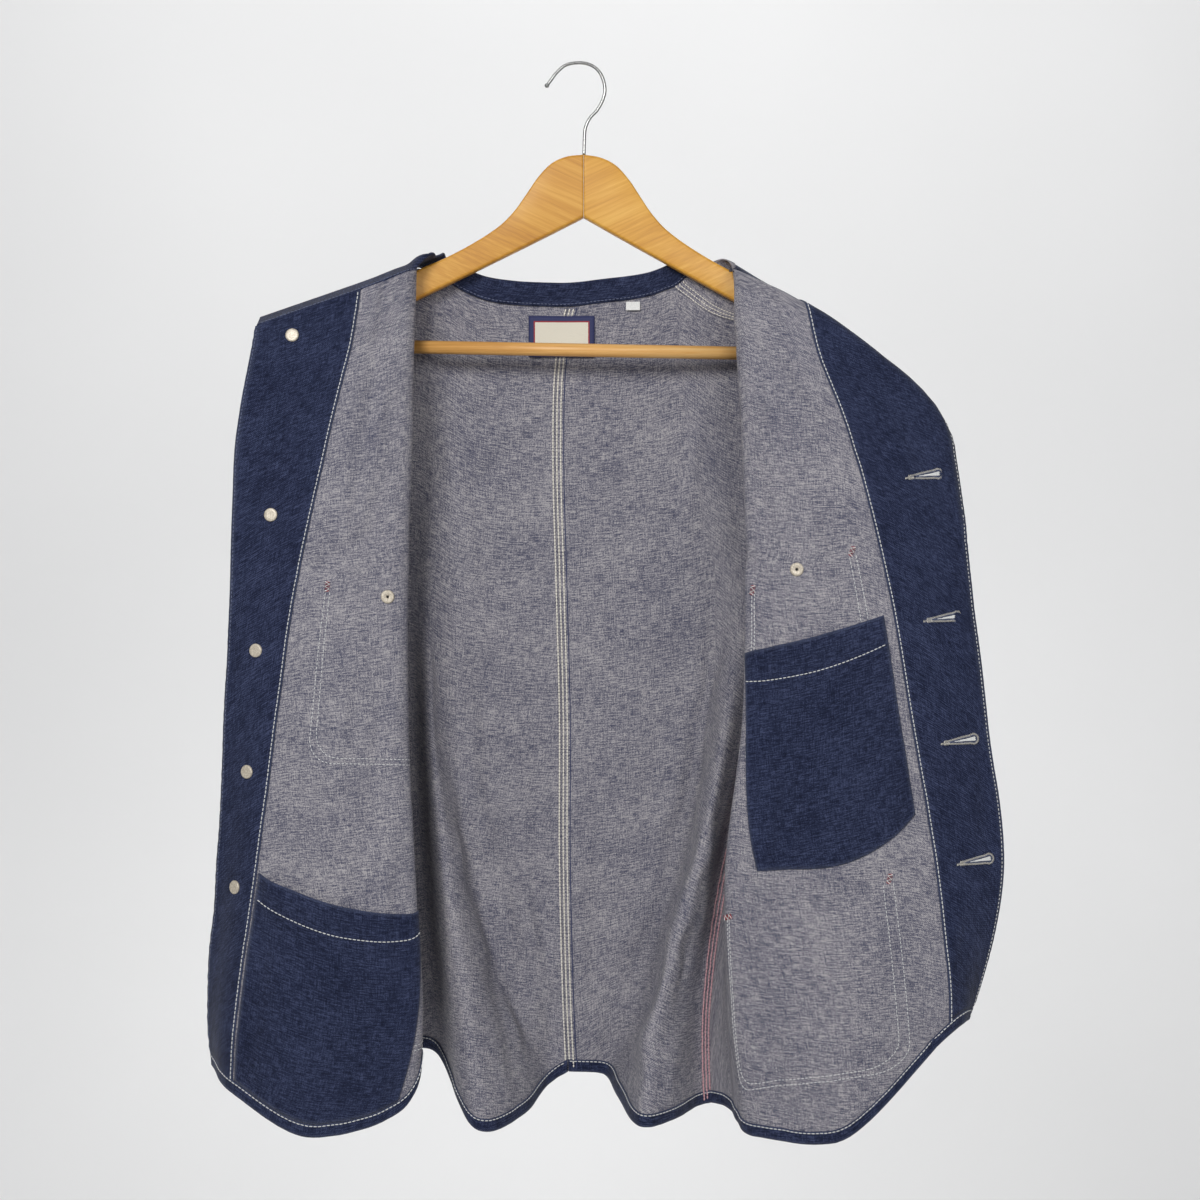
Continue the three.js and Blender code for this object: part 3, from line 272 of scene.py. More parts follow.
def span_of(knots, at):
    """The number of the stretch between rising knots in which a value lies."""
    return min(max(bisect.bisect_left(knots, at) - 1, 0), len(knots) - 2)


def smooth(knots, values, at):
    """Cubic interpolation through values at rising knots."""
    last = len(knots) - 1
    i = span_of(knots, at)
    span = knots[i + 1] - knots[i]
    t = (at - knots[i]) / span

    def slope(j):
        a = max(j - 1, 0)
        b = min(j + 1, last)
        return (values[b] - values[a]) / (knots[b] - knots[a])

    t2 = t * t
    t3 = t2 * t
    return ((2 * t3 - 3 * t2 + 1) * values[i] + (t3 - 2 * t2 + t) * span * slope(i)
            + (3 * t2 - 2 * t3) * values[i + 1] + (t3 - t2) * span * slope(i + 1))


def mix(a, b, share):
    return a + (b - a) * share


def spread(start, end, count):
    return [mix(start, end, i / count) for i in range(count + 1)]


def clamp(value, low=0.0, high=1.0):
    return min(max(value, low), high)


def ease(t):
    t = clamp(t)
    return t * t * (3 - 2 * t)


def arm_depth(x):
    return -ARM_SWEEP * ((x - HANGER_CENTRE) / ARM_REACH) ** 2


def armhole_y(z, side):
    middle = (ARMHOLE["top"] + ARMHOLE["bottom"]) / 2
    half = (ARMHOLE["top"] - ARMHOLE["bottom"]) / 2
    reach = min(1, abs(z - middle) / half)
    return ARMHOLE["y"] + side * ARMHOLE["half_depth"] * math.sqrt(1 - reach * reach)


def turn_over(curve, radius, x, z):
    """Turns what lies above a curve over to the back, round a small radius. Gives x, z and depth."""
    xs, zs = curve
    rise = (smooth(xs, zs, x + 1) - smooth(xs, zs, x - 1)) / 2
    length = math.hypot(1, rise)
    nx = -rise / length
    nz = 1 / length
    above = (z - smooth(xs, zs, x)) * nz
    quarter = math.pi / 2 * radius
    if above <= -quarter:
        lift = (quarter - radius) * ease((above + quarter + FOLD_RUN) / FOLD_RUN)
        return x + nx * lift, z + nz * lift, 0
    angle = clamp(-above / radius, -math.pi / 2, math.pi / 2)
    past = max(above - quarter, 0)
    drop = radius * (1 - math.cos(angle)) + past
    return x + nx * (-drop - above), z + nz * (-drop - above), radius * (1 - math.sin(angle))


LEVEL_KEYS = {}
for table_name, table in TABLES.items():
    heights = [-z for z in table["levels"]]
    stations = range(len(table["stations"]))
    LEVEL_KEYS[table_name] = {
        "heights": heights,
        "x": [[row[i][0] for row in table["levels"].values()] for i in stations],
        "y": [[row[i][1] for row in table["levels"].values()] for i in stations],
        "seam": table["stations"].index("seam"),
        "below": heights.index(-ARMHOLE["bottom"]),
    }


def panel_flat(name, k, z, seam_side):
    """A panel's x and y at station number k and height z, before anything is turned over."""
    keys = LEVEL_KEYS[name]
    heights = keys["heights"]
    count = len(keys["x"])
    low = clamp(int(k) - 1, 0, count - 1)
    high = clamp(int(k) + 3, 0, count)
    xs, ys = [], []
    for i in range(low, high):
        if i == keys["seam"]:
            first = keys["below"]
            x = smooth(heights[first:], keys["x"][i][first:], -z)
            y = smooth(heights[first:], keys["y"][i][first:], -z)
            if z >= ARMHOLE["bottom"]:
                down = (ARMHOLE["top"] - z) / (ARMHOLE["top"] - ARMHOLE["bottom"])
                x = math.copysign(ARMHOLE["x"] + ARMHOLE["flare"] * down, keys["x"][i][first])
                y = armhole_y(z, seam_side)
        else:
            x = smooth(heights, keys["x"][i], -z)
            y = smooth(heights, keys["y"][i], -z)
        xs.append(x)
        ys.append(y)
    knots = list(range(low, high))
    return smooth(knots, xs, k), smooth(knots, ys, k)


def height_at(name, k, row):
    values = TABLES[name][row]
    return smooth(range(len(values)), values, k)


def station_at(name, x, z, low=3.0, high=7.0, side=-1):
    """The station number between low and high where a panel reaches x at height z, found by halving."""
    rising = panel_flat(name, high, z, side)[0] > panel_flat(name, low, z, side)[0]
    for _ in range(18):
        middle = (low + high) / 2
        if (panel_flat(name, middle, z, side)[0] > x) == rising:
            high = middle
        else:
            low = middle
    return (low + high) / 2


def on_arm(x):
    return clamp((ARMHOLE["x"] - abs(x)) / SHOULDER["fade"])


def back_point(name, k, z):
    x, y = panel_flat(name, k, z, 1)
    if name == "back_left":
        return Vector((x, y, z))
    back = turn_over(SHOULDER["right"], SHOULDER["radius"], x, z)[2]
    return Vector((x, y - back * on_arm(x), z))


def front_point(name, k, z):
    x, y = panel_flat(name, k, z, -1)
    side = name[6:]
    if k <= 3:
        tx, tz, back = turn_over(SHOULDER[side], SHOULDER["radius"], x, z)
        front = arm_depth(tx) - SHOULDER["radius"]
        blend = min(back / SHOULDER["radius"], 1)
        rounded = Vector((tx, y + (front - y) * blend + back, tz))
        return Vector((x, y, z)).lerp(rounded, on_arm(x))
    if side == "right":
        return Vector((x, y, z))
    tx, tz, back = turn_over(TOP_FOLD["curve"], TOP_FOLD["radius"], x, z)
    if (tx, tz) == (x, z):
        return Vector((x, y, z))
    below = station_at(name, tx, tz)
    return Vector((tx, panel_flat(name, below, tz, -1)[1] + back, tz))


def point_on(name, k, z):
    return back_point(name, k, z) if name.startswith("back") else front_point(name, k, z)


def turn_height(name, k, top):
    """The height on column k where the surface turns over, found by halving."""
    if name != "front_left":
        return top
    xs, zs = SHOULDER["left"] if k <= 3 else TOP_FOLD["curve"]
    high, low = top, top - 240
    for _ in range(20):
        z = (low + high) / 2
        if z > smooth(xs, zs, panel_flat(name, k, z, -1)[0]):
            high = z
        else:
            low = z
    return min(low, top - 2)


def crease_height(creases, x, z):
    """How far the cloth stands out towards the viewer at x and z, in soft ridges and troughs."""
    total = 0
    tail = CREASE["tail"]
    for x0, z0, x1, z1, width, height in creases:
        dx, dz = x1 - x0, z1 - z0
        length2 = dx * dx + dz * dz
        t = ((x - x0) * dx + (z - z0) * dz) / length2
        off = abs((x - x0) * dz - (z - z0) * dx) / math.sqrt(length2)
        if -tail <= t <= 1 + tail and off <= CREASE["reach"] * width:
            bow = 1 + CREASE["bow"] * math.sin(CREASE["bends"] * t + width)
            ends = ease((t + tail) / (2 * tail)) * ease((1 + tail - t) / (2 * tail))
            total += height * math.exp(-(off / (width * bow)) ** 2) * ends
    return total


# How the cloth puckers along a sewn line: half width, height and spacing of the ripples
PUCKER = {"reach": 9, "height": 0.35, "pitch": 9}


def ripple(distance, along, seed):
    if distance > PUCKER["reach"]:
        return 0
    wave = math.sin(2 * math.pi * along / PUCKER["pitch"] + 2.2 * noise.noise(Vector((along / 31, seed, 0))))
    return PUCKER["height"] * wave * ease(1 - distance / PUCKER["reach"])


GRIDS = {}

# Soft unevenness of the cloth: height, spread in x and z, and seed
UNEVEN = [(0.5, 26, 34, 0), (0.9, 70, 90, 5)]


def make_grid(name):
    """The fine grid of a panel: for each column the heights, points and normals, creases included."""
    last = len(TABLES[name]["stations"]) - 1
    columns = last * FINE
    grid = {"name": name, "z": [], "p": [], "columns": columns}
    front = name.startswith("front")
    for i in range(columns + 1):
        k = i / FINE
        edge = JOINS[name](k) if name in JOINS else None
        top = edge[1] if edge else height_at(name, k, "top") - EDGE_DROP
        bend = turn_height(name, k, top) - BEND_DROP
        heights = spread(top, bend, TOP_ROWS)[:-1] + spread(bend, height_at(name, k, "hem"), BODY_ROWS)
        points = [point_on(name, k, z) for z in heights]
        if edge:
            shift = edge[0] - points[0].y
            for z, point in zip(heights, points):
                point.y += shift * ease(1 - (top - z) / JOIN_REACH)
        grid["z"].append(heights)
        grid["p"].append(points)
    set_normals(grid)
    sewn_lines = [(0, 1.0, 1), (columns, 2.0, 1)] + ([(FACING * FINE, 4.0, 0.9)] if front else [])
    moved = []
    for i in range(columns + 1):
        free_edge = front and i > columns - 2 * FINE
        fade = mix(1.0 if free_edge else ease(min(i, columns - i) / 5), 1.0, 0.3)
        column = []
        for j, point in enumerate(grid["p"][i]):
            height = CREASE["depth"] * crease_height(CREASES[name], point.x, point.z)
            for size, wide, tall, seed in UNEVEN:
                height += size * noise.noise(Vector((point.x / wide, point.z / tall, last + seed)))
            for line, seed, share in sewn_lines:
                height += share * ripple((point - grid["p"][line][j]).length, point.z, seed)
            hem_gap = grid["z"][i][j] - grid["z"][i][-1]
            height += 0.8 * ripple(abs(hem_gap - HEM_PUCKER), point.x, 3.0)
            column.append(point + grid["n"][i][j] * (height * fade))
        moved.append(column)
    grid["p"] = moved
    set_normals(grid)
    GRIDS[name] = grid


def set_normals(grid):
    """Normals that point to the inside of the garment."""
    points = grid["p"]
    inside = 1 if grid["name"] == "front_right" else -1
    last_i, last_j = len(points) - 1, len(points[0]) - 1
    grid["n"] = []
    for i in range(last_i + 1):
        column = []
        for j in range(last_j + 1):
            across = points[min(i + 1, last_i)][j] - points[max(i - 1, 0)][j]
            down = points[i][min(j + 1, last_j)] - points[i][max(j - 1, 0)]
            column.append(across.cross(down).normalized() * inside)
        grid["n"].append(column)


def sample(name, k, z):
    """The point, inside normal and across direction on a panel at station k and height z."""
    grid = GRIDS[name]
    place = clamp(k * FINE, 0, grid["columns"])
    i = min(int(place), grid["columns"] - 1)
    ends = []
    for column in (i, i + 1):
        heights, points, normals = grid["z"][column], grid["p"][column], grid["n"][column]
        j = min(max(bisect.bisect_left(heights, -z, key=lambda h: -h) - 1, 0), len(heights) - 2)
        t = clamp((heights[j] - z) / (heights[j] - heights[j + 1]), -0.5, 1.5)
        ends.append((points[j].lerp(points[j + 1], t), normals[j].lerp(normals[j + 1], clamp(t))))
    point, normal = (a.lerp(b, place - i) for a, b in zip(*ends))
    return point, normal.normalized(), (ends[1][0] - ends[0][0]).normalized()


def shoulder_join(back, front, low, high):
    """A back's top edge follows the front's: gives its y and z at a station between low and high."""
    edge = [point_on(front, k, height_at(front, k, "top") - EDGE_DROP) for k in spread(0, 2, 2 * FINE)]
    edge.sort(key=lambda p: p.x)
    xs = [p.x for p in edge]

    def joined(k):
        if not low <= k <= high:
            return None
        x = point_on(back, k, height_at(back, k, "top")).x
        j = span_of(xs, x)
        point = edge[j].lerp(edge[j + 1], clamp((x - xs[j]) / max(xs[j + 1] - xs[j], 1e-6)))
        return point.y, point.z
    return joined


JOINS = {
    "back_right": shoulder_join("back_right", "front_right", 0.05, 2.0),
    "back_left": shoulder_join("back_left", "front_left", 1.95, 5.95),
}
for panel_name in TABLES:
    make_grid(panel_name)


# Materials

def new_material(name):
    material = bpy.data.materials.new(name)
    material.use_nodes = True
    tree = material.node_tree
    return material, tree, next(n for n in tree.nodes if n.type == "BSDF_PRINCIPLED")


def srgb(r, g, b):
    def line(v):
        v /= 255
        return v / 12.92 if v <= 0.04045 else ((v + 0.055) / 1.055) ** 2.4
    return (line(r), line(g), line(b), 1)


def flat_place(tree):
    uv = tree.nodes.new("ShaderNodeUVMap")
    uv.uv_map = "flat"
    return uv.outputs["UV"]


def object_place(tree):
    return tree.nodes.new("ShaderNodeTexCoord").outputs["Object"]


def stretched_noise(tree, source, scale, detail=3, roughness=0.6):
    """A noise texture over source coordinates, stretched by scale along each axis."""
    mapping = tree.nodes.new("ShaderNodeMapping")
    mapping.inputs["Scale"].default_value = scale
    tree.links.new(source, mapping.inputs["Vector"])
    texture = tree.nodes.new("ShaderNodeTexNoise")
    for key, value in (("Scale", 1), ("Detail", detail), ("Roughness", roughness)):
        texture.inputs[key].default_value = value
    tree.links.new(mapping.outputs["Vector"], texture.inputs["Vector"])
    return texture.outputs["Fac"]


def put_in(tree, socket, value):
    if isinstance(value, (int, float, tuple)):
        socket.default_value = value
    else:
        tree.links.new(value, socket)


def calc(tree, operation, a, b):
    made = tree.nodes.new("ShaderNodeMath")
    made.operation = operation
    put_in(tree, made.inputs[0], a)
    put_in(tree, made.inputs[1], b)
    return made.outputs[0]


def weigh(tree, *pairs):
    """The sum of sources, each times its share."""
    total = None
    for source, share in pairs:
        part = calc(tree, "MULTIPLY", source, share)
        total = part if total is None else calc(tree, "ADD", total, part)
    return total


def ramp(tree, source, stops):
    made = tree.nodes.new("ShaderNodeValToRGB")
    elements = made.color_ramp.elements
    while len(elements) < len(stops):
        elements.new(0.5)
    for element, (place, colour) in zip(elements, stops):
        element.position = place
        element.color = colour
    tree.links.new(source, made.inputs["Fac"])
    return made.outputs["Color"]


def blend_colour(tree, share, a, b):
    made = tree.nodes.new("ShaderNodeMix")
    made.data_type = "RGBA"
    for name, kind, value in (("Factor", "VALUE", share), ("A", "RGBA", a), ("B", "RGBA", b)):
        put_in(tree, next(s for s in made.inputs if s.name == name and s.type == kind), value)
    return next(s for s in made.outputs if s.type == "RGBA")


def dress(tree, shader, colour, roughness, relief, strength, depth, **more):
    """Gives a shader its colour, roughness and relief (depth in metres), and other values by name."""
    tree.links.new(colour, shader.inputs["Base Color"])
    shader.inputs["Roughness"].default_value = roughness
    for key, value in more.items():
        shader.inputs[key.replace("_", " ")].default_value = value
    bump = tree.nodes.new("ShaderNodeBump")
    bump.inputs["Strength"].default_value = strength
    bump.inputs["Distance"].default_value = depth
    tree.links.new(relief, bump.inputs["Height"])
    tree.links.new(bump.outputs["Normal"], shader.inputs["Normal"])


# How much each texture adds to the denim's tone besides its specks, and how far its tones spread
WARP, WEFT, FADE, TWILL = 0.26, 0.42, 0.13, 0.06
TONE_SPREAD = 0.088


def denim(name, speckle, *colours):
    """Twill from its own flat coordinates in metres: warp and weft slubs, specks and a slow fade."""
    dark, middle, light, worn_colour = (srgb(*colour) for colour in colours)
    material, tree, shader = new_material(name)
    flat = flat_place(tree)
    warp = stretched_noise(tree, flat, (1000, 80, 1))
    weft = stretched_noise(tree, flat, (95, 900, 1))
    specks = stretched_noise(tree, flat, (760, 720, 1), 2, 0.7)
    fade = stretched_noise(tree, flat, (15, 24, 1), 4)
    wave = tree.nodes.new("ShaderNodeTexWave")
    wave.wave_type = "BANDS"
    wave.bands_direction = "DIAGONAL"
    for key, value in (("Scale", 420), ("Distortion", 1.2), ("Detail", 1)):
        wave.inputs[key].default_value = value
    tree.links.new(flat, wave.inputs["Vector"])
    twill = wave.outputs["Fac"]
    tone = weigh(tree, (warp, WARP), (weft, WEFT), (specks, speckle), (fade, FADE), (twill, TWILL))
    centre = (WARP + WEFT + speckle + FADE + TWILL) / 2
    stops = [(centre - TONE_SPREAD, dark), (centre, middle), (centre + TONE_SPREAD, light)]
    worn = tree.nodes.new("ShaderNodeAttribute")
    worn.attribute_name = "worn"
    rubbed = calc(tree, "MULTIPLY", worn.outputs["Fac"], calc(tree, "MULTIPLY", specks, 1.3))
    colour = blend_colour(tree, rubbed, ramp(tree, tone, stops), worn_colour)
    relief = weigh(tree, (twill, 0.5), (specks, 1.0))
    dress(tree, shader, colour, 0.92, relief, 0.5, 0.0006, Specular_IOR_Level=0.18, Sheen_Weight=0.12)
    return material


def plain_cloth(name, light, dark, scale):
    material, tree, shader = new_material(name)
    weave = stretched_noise(tree, object_place(tree), (scale, scale, scale), 2, 0.7)
    colour = ramp(tree, weave, [(0.3, srgb(*dark)), (0.62, srgb(*light))])
    dress(tree, shader, colour, 0.85, weave, 0.4, 0.0004)
    return material


def wood(name, slope, gloss, *colours):
    """Varnished wood with its grain along x, sloping with the arm."""
    material, tree, shader = new_material(name)
    turn = tree.nodes.new("ShaderNodeMapping")
    turn.inputs["Rotation"].default_value = (0, slope, 0)
    tree.links.new(object_place(tree), turn.inputs["Vector"])
    turned = turn.outputs["Vector"]
    grain = stretched_noise(tree, turned, (9, 300, 420), 5)
    broad = stretched_noise(tree, turned, (4, 40, 60), 3, 0.5)
    pores = stretched_noise(tree, turned, (60, 1500, 2400), 2, 0.5)
    tone = weigh(tree, (grain, 0.5), (broad, 0.35), (pores, 0.15))
    colour = ramp(tree, tone, [(place, srgb(*c)) for place, c in zip((0.36, 0.5, 0.64), colours)])
    dress(tree, shader, colour, gloss, grain, 0.12, 0.0004, Coat_Weight=0.1, Coat_Roughness=0.25)
    return material


def metal(name, dark, light, roughness, metallic):
    material, tree, shader = new_material(name)
    marks = stretched_noise(tree, object_place(tree), (900, 900, 900))
    colour = ramp(tree, marks, [(0.35, srgb(*dark)), (0.65, srgb(*light))])
    dress(tree, shader, colour, roughness, marks, 0.15, 0.0002, Metallic=metallic)
    return material


def label_cloth():
    """The neck label, bare: a navy border, a thin red line and a cream field."""
    material, tree, shader = new_material("label_cloth")
    flat = flat_place(tree)
    split = tree.nodes.new("ShaderNodeSeparateXYZ")
    tree.links.new(flat, split.inputs["Vector"])
    gaps = []
    for axis, size in (("X", LABEL["right"] - LABEL["left"]), ("Y", LABEL["top"] - LABEL["bottom"])):
        far = calc(tree, "SUBTRACT", size * MM, split.outputs[axis])
        gaps.append(calc(tree, "MINIMUM", split.outputs[axis], far))
    shakes = stretched_noise(tree, flat, (700, 700, 1), 2, 0.7)
    inset = calc(tree, "ADD", calc(tree, "MINIMUM", *gaps), calc(tree, "MULTIPLY", shakes, 0.0006))
    weave = stretched_noise(tree, flat, (1600, 1600, 1), 2, 0.7)
    navy = ramp(tree, weave, [(0.3, srgb(28, 34, 74)), (0.7, srgb(52, 58, 104))])
    cream = ramp(tree, weave, [(0.3, srgb(205, 198, 180)), (0.7, srgb(240, 234, 218))])
    colour = blend_colour(tree, calc(tree, "GREATER_THAN", inset, 0.0050), navy, srgb(150, 40, 52))
    colour = blend_colour(tree, calc(tree, "GREATER_THAN", inset, 0.0062), colour, cream)
    dress(tree, shader, colour, 0.7, weave, 0.3, 0.0003)
    return material


WRONG_SIDE = denim("denim_wrong_side", 0.40, (76, 78, 98), (130, 128, 138), (182, 178, 180), (170, 168, 172))
RIGHT_SIDE = denim("denim_right_side", 0.30, (18, 24, 46), (35, 42, 68), (66, 74, 104), (104, 112, 138))
CREAM_THREAD, WHITE_THREAD, PINK_THREAD, RED_THREAD, GREY_THREAD, NAVY_THREAD = (
    plain_cloth(name + "_thread", light, dark, 2500) for name, light, dark in (
        ("cream", (246, 242, 232), (214, 206, 192)), ("white", (236, 236, 232), (190, 192, 196)),
        ("pink", (222, 176, 180), (176, 130, 138)), ("red", (196, 54, 66), (140, 34, 48)),
        ("blue_grey", (122, 130, 156), (78, 86, 116)), ("navy", (64, 72, 108), (38, 44, 74))))
LABEL_LOOK = label_cloth()
TAG_CLOTH = plain_cloth("tag_cloth", (240, 240, 238), (214, 214, 214), 1400)
# Lit and shaded copies of one wood: painted shade on the hanger's right arm (the viewer's left), painted
# light on its left arm, for how the key light from the left falls on the two halves
SHADED_HANGER_WOOD = wood("hanger_wood", -0.42, 0.5, (190, 128, 40), (210, 149, 52), (226, 170, 74))
LIT_HANGER_WOOD = wood("hanger_wood_pale", 0.42, 0.5, (200, 138, 42), (218, 158, 56), (232, 178, 80))
BAR_WOOD = wood("bar_wood", 0, 0.45, (204, 146, 76), (228, 172, 98), (242, 198, 132))
WIRE = metal("hook_wire", (120, 120, 118), (190, 190, 188), 0.28, 1)
TACK_METAL = metal("tack_back", (176, 165, 148), (222, 212, 194), 0.42, 0.2)
BUTTON_METAL = metal("button_metal", (96, 82, 58), (150, 132, 98), 0.4, 0.9)
# Near-black finish for the floor of a tack's hole: painted shade for the hollow
HOLE_PAINTED_SHADE = metal("tack_hole_painted_shade", (20, 18, 18), (40, 38, 38), 0.8, 0)


# Building pieces

def put_in_scene(name, data):
    thing = bpy.data.objects.new(name, data)
    bpy.context.scene.collection.objects.link(thing)
    return thing


def finish_piece(name, bm, materials, slot):
    """Makes the piece that stands for the solid of its name."""
    mesh = bpy.data.meshes.new(name)
    bm.to_mesh(mesh)
    bm.free()
    piece = put_in_scene(name, mesh)
    for material in materials:
        mesh.materials.append(material)
    for polygon in mesh.polygons:
        polygon.use_smooth = True
    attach(piece, "root")
    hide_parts(name)
    return piece


def cloth_sheet(name, columns, rows, place, materials, slot, thickness, worn_edges=(), facing=None):
    """A sheet from a grid: place(u, v) gives the point in mm, and the flat map follows its lengths.
    worn_edges names the edges that are rubbed pale, and facing is a point and the way it should face."""
    bm = bmesh.new()
    bmesh.ops.create_grid(bm, x_segments=columns, y_segments=rows, size=1)
    bm.verts.ensure_lookup_table()
    spots, points, across, down = {}, {}, {}, {}
    for vert in bm.verts:
        i, j = round((vert.co.x + 1) / 2 * columns), round((1 - vert.co.y) / 2 * rows)
        spots[vert.index] = (i, j)
        points[i, j] = place(i / columns, j / rows)
    for i in range(columns + 1):
        for j in range(rows + 1):
            across[i, j] = across[i - 1, j] + (points[i, j] - points[i - 1, j]).length if i else 0
            down[i, j] = down[i, j - 1] + (points[i, j] - points[i, j - 1]).length if j else 0
    for vert in bm.verts:
        vert.co = points[spots[vert.index]] * MM
    flat = bm.loops.layers.uv.new("flat")
    for face in bm.faces:
        for loop in face.loops:
            spot = spots[loop.vert.index]
            loop[flat].uv = (across[spot] * MM, down[spot] * MM)
    if facing:
        bm.normal_update()
        middle = min(bm.faces, key=lambda f: (f.calc_center_median() - facing[0] * MM).length)
        if middle.normal.dot(facing[1]) < 0:
            bmesh.ops.reverse_faces(bm, faces=bm.faces[:])
    piece = finish_piece(name, bm, materials, slot)
    worn = piece.data.attributes.new("worn", "FLOAT", "POINT")
    for index, (i, j) in spots.items():
        gaps = {
            "left": across[i, j], "right": across[columns, j] - across[i, j],
            "top": down[i, j], "bottom": down[i, rows] - down[i, j],
        }
        near = min((gaps[edge] for edge in worn_edges), default=WORN_REACH)
        worn.data[index].value = WORN_SHARE * ease(1 - near / WORN_REACH)
    shell = piece.modifiers.new("cloth thickness", "SOLIDIFY")
    shell.thickness = thickness * MM
    shell.offset = 0
    shell.material_offset = shell.material_offset_rim = len(materials) - 1
    return piece


def dark_sheet(name, columns, rows, place, worn_edges, thickness=PATCH_CLOTH):
    return cloth_sheet(name, columns, rows, place, [RIGHT_SIDE], "denim_dark", thickness, worn_edges)


def body_panel(name):
    points, normals = GRIDS[name]["p"], GRIDS[name]["n"]
    columns, rows = len(points) - 1, len(points[0]) - 1

    def place(u, v):
        return points[round(u * columns)][round(v * rows)]
    facing = (points[columns // 2][rows // 2], normals[columns // 2][rows // 2])
    return cloth_sheet(name, columns, rows, place, [WRONG_SIDE, RIGHT_SIDE], "denim_wrong_side", CLOTH,
                       facing=facing)


def lifted(name, k, z, height, offset=0):
    """A point that lies so many mm over a panel, on the inside if height is above 0."""
    point, normal, across = sample(name, k, z)
    return point + across * offset + normal * height


def facing_layer(name, panel):
    heights = GRIDS[panel]["z"]
    rows = len(heights[0]) - 1

    def place(u, v):
        i = FACING * FINE + round(u * FINE)
        j = min(int(v * rows), rows - 1)
        z = mix(heights[i][j], heights[i][j + 1], v * rows - j)
        return lifted(panel, i / FINE, max(z, heights[i][-1] + HEM_HEIGHT), LAYER)
    return dark_sheet(name, FINE, rows, place, ("left", "right"))


def hem_layer(name, panel):
    last = len(TABLES[panel]["stations"]) - 1

    def place(u, v):
        k = mix(0.02, last - 0.02, u)
        hem = height_at(panel, k, "hem")
        return lifted(panel, k, mix(hem + HEM_HEIGHT, hem - 0.2, v), LAYER)
    return dark_sheet(name, last * FINE, 4, place, ("top", "bottom"))


def across_pocket(shape, pair, k):
    """The height at station k of a line given at a pocket's two sides."""
    return mix(pair[0], pair[1], (k - shape["from"]) / (shape["to"] - shape["from"]))


def pocket_top(name, k):
    shape = POCKETS[name]
    share = clamp((k - shape["from"]) / (shape["to"] - shape["from"]))
    return across_pocket(shape, shape["top"], k) - shape.get("sag", 0) * math.sin(math.pi * share)


def pocket_foot(name, k):
    shape = POCKETS[name]
    if "bottom" not in shape:
        return height_at(shape["panel"], k, "hem") + HEM_HEIGHT + 0.5
    start, lift = shape.get("corner", (shape["to"] - 0.5, 0))
    rounded = max(0, k - start) / (shape["to"] - start)
    return across_pocket(shape, shape["bottom"], k) + lift * rounded ** 2


POCKET_PLACES = {}
# A pocket's own form: how far down its mouth stands off, its unevenness and its swell
POCKET_FORM = {"mouth": 0.22, "uneven": 0.3, "swell": 0.5}


def pocket(name):
    """A patch whose mouth stands off a little, most at its gape: how far, and where across it."""
    shape = POCKETS[name]
    panel, side = shape["panel"], shape["side"]
    mouth, middle = shape.get("gape", (0.8, 0.5))

    def place(u, v):
        start = mix(shape["from"], shape.get("foot_from", shape["from"]), v)
        k = mix(start, shape["to"], u)
        z = mix(pocket_top(name, k), pocket_foot(name, k), v)
        wide = ease(1 - abs(u - middle) / (0.45 if u > middle else 0.6)) * ease(u * 12) * ease((1 - u) * 12)
        swell = max(0, noise.noise(Vector((2 * u, 2.5 * v, 7)))) * ease(v * 8) * ease((1 - v) * 8)
        stand = mouth * wide * ease(1 - v / POCKET_FORM["mouth"]) + POCKET_FORM["swell"] * swell
        stand += POCKET_FORM["uneven"] * noise.noise(Vector((4 * u, 5 * v, side * LAYER)))
        return lifted(panel, k, z, side * (LAYER + stand))
    POCKET_PLACES[name] = place
    return dark_sheet(name, 44, 52, place, ("top", "left", "right", "bottom"))


for panel_name in TABLES:
    body_panel(panel_name)
for side_name in SIDES:
    facing_layer("facing_" + side_name, "front_" + side_name)
for panel_name in TABLES:
    hem_layer("hem_" + panel_name, panel_name)
for pocket_name in POCKETS:
    pocket(pocket_name)


# The neck band: a panel and station, or a free point, and the direction in which the band stands
BAND_ROUTES = {
    "neck_band": (
        [("front_right", 7 - step / 2, (0, 20, 10)) for step in range(7)]
        + [("front_right", 3.67, (4, 14, 16)), ("front_right", 3.33, (10, 8, 15)),
           ("front_right", 3, (16, 3, 12)), ("front_right", 2.5, (19, 0, 8)), ("front_right", 2, (19, 0, 8)),
           (None, (-145, -5, -187), (18, 0, 10)), (None, (-136, 1, -191), (12, 0, 17)),
           ("back_right", 3.15, (-2, -1, 21))]
        + [("back_right", 3.6 + 0.6 * step, (0, -1, 22)) for step in range(5)]
        + [("back_left", 0.4 * step, (0, -1, 22)) for step in range(1, 5)]
        + [("front_left", 2, (-6, 0, 21)), ("front_left", 2.33, (-13, 2, 17)),
           (None, (112, 6.5, -186), (-12, 2, 14)), (None, (122, 6.5, -184), (-12, 2, 8))]),
    "neck_band_left": [("front_left", 5 + step / 2, (-6 * (0.4 + step / 2), 2, -17)) for step in range(5)],
}
BAND_COLUMNS = {"neck_band": 220, "neck_band_left": 60}


def band_row(panel, at, direction):
    """The band's sewn edge at one stop of its route, and the way from there to its free edge."""
    upward = Vector(direction).normalized() * BAND_HEIGHT
    if panel is None:
        return Vector(at), upward
    base = point_on(panel, at, height_at(panel, at, "top")) - upward * (BAND_OVERLAP / BAND_HEIGHT)
    if panel.startswith("back"):
        base += Vector((0, -1.4, 0))
    return base, upward


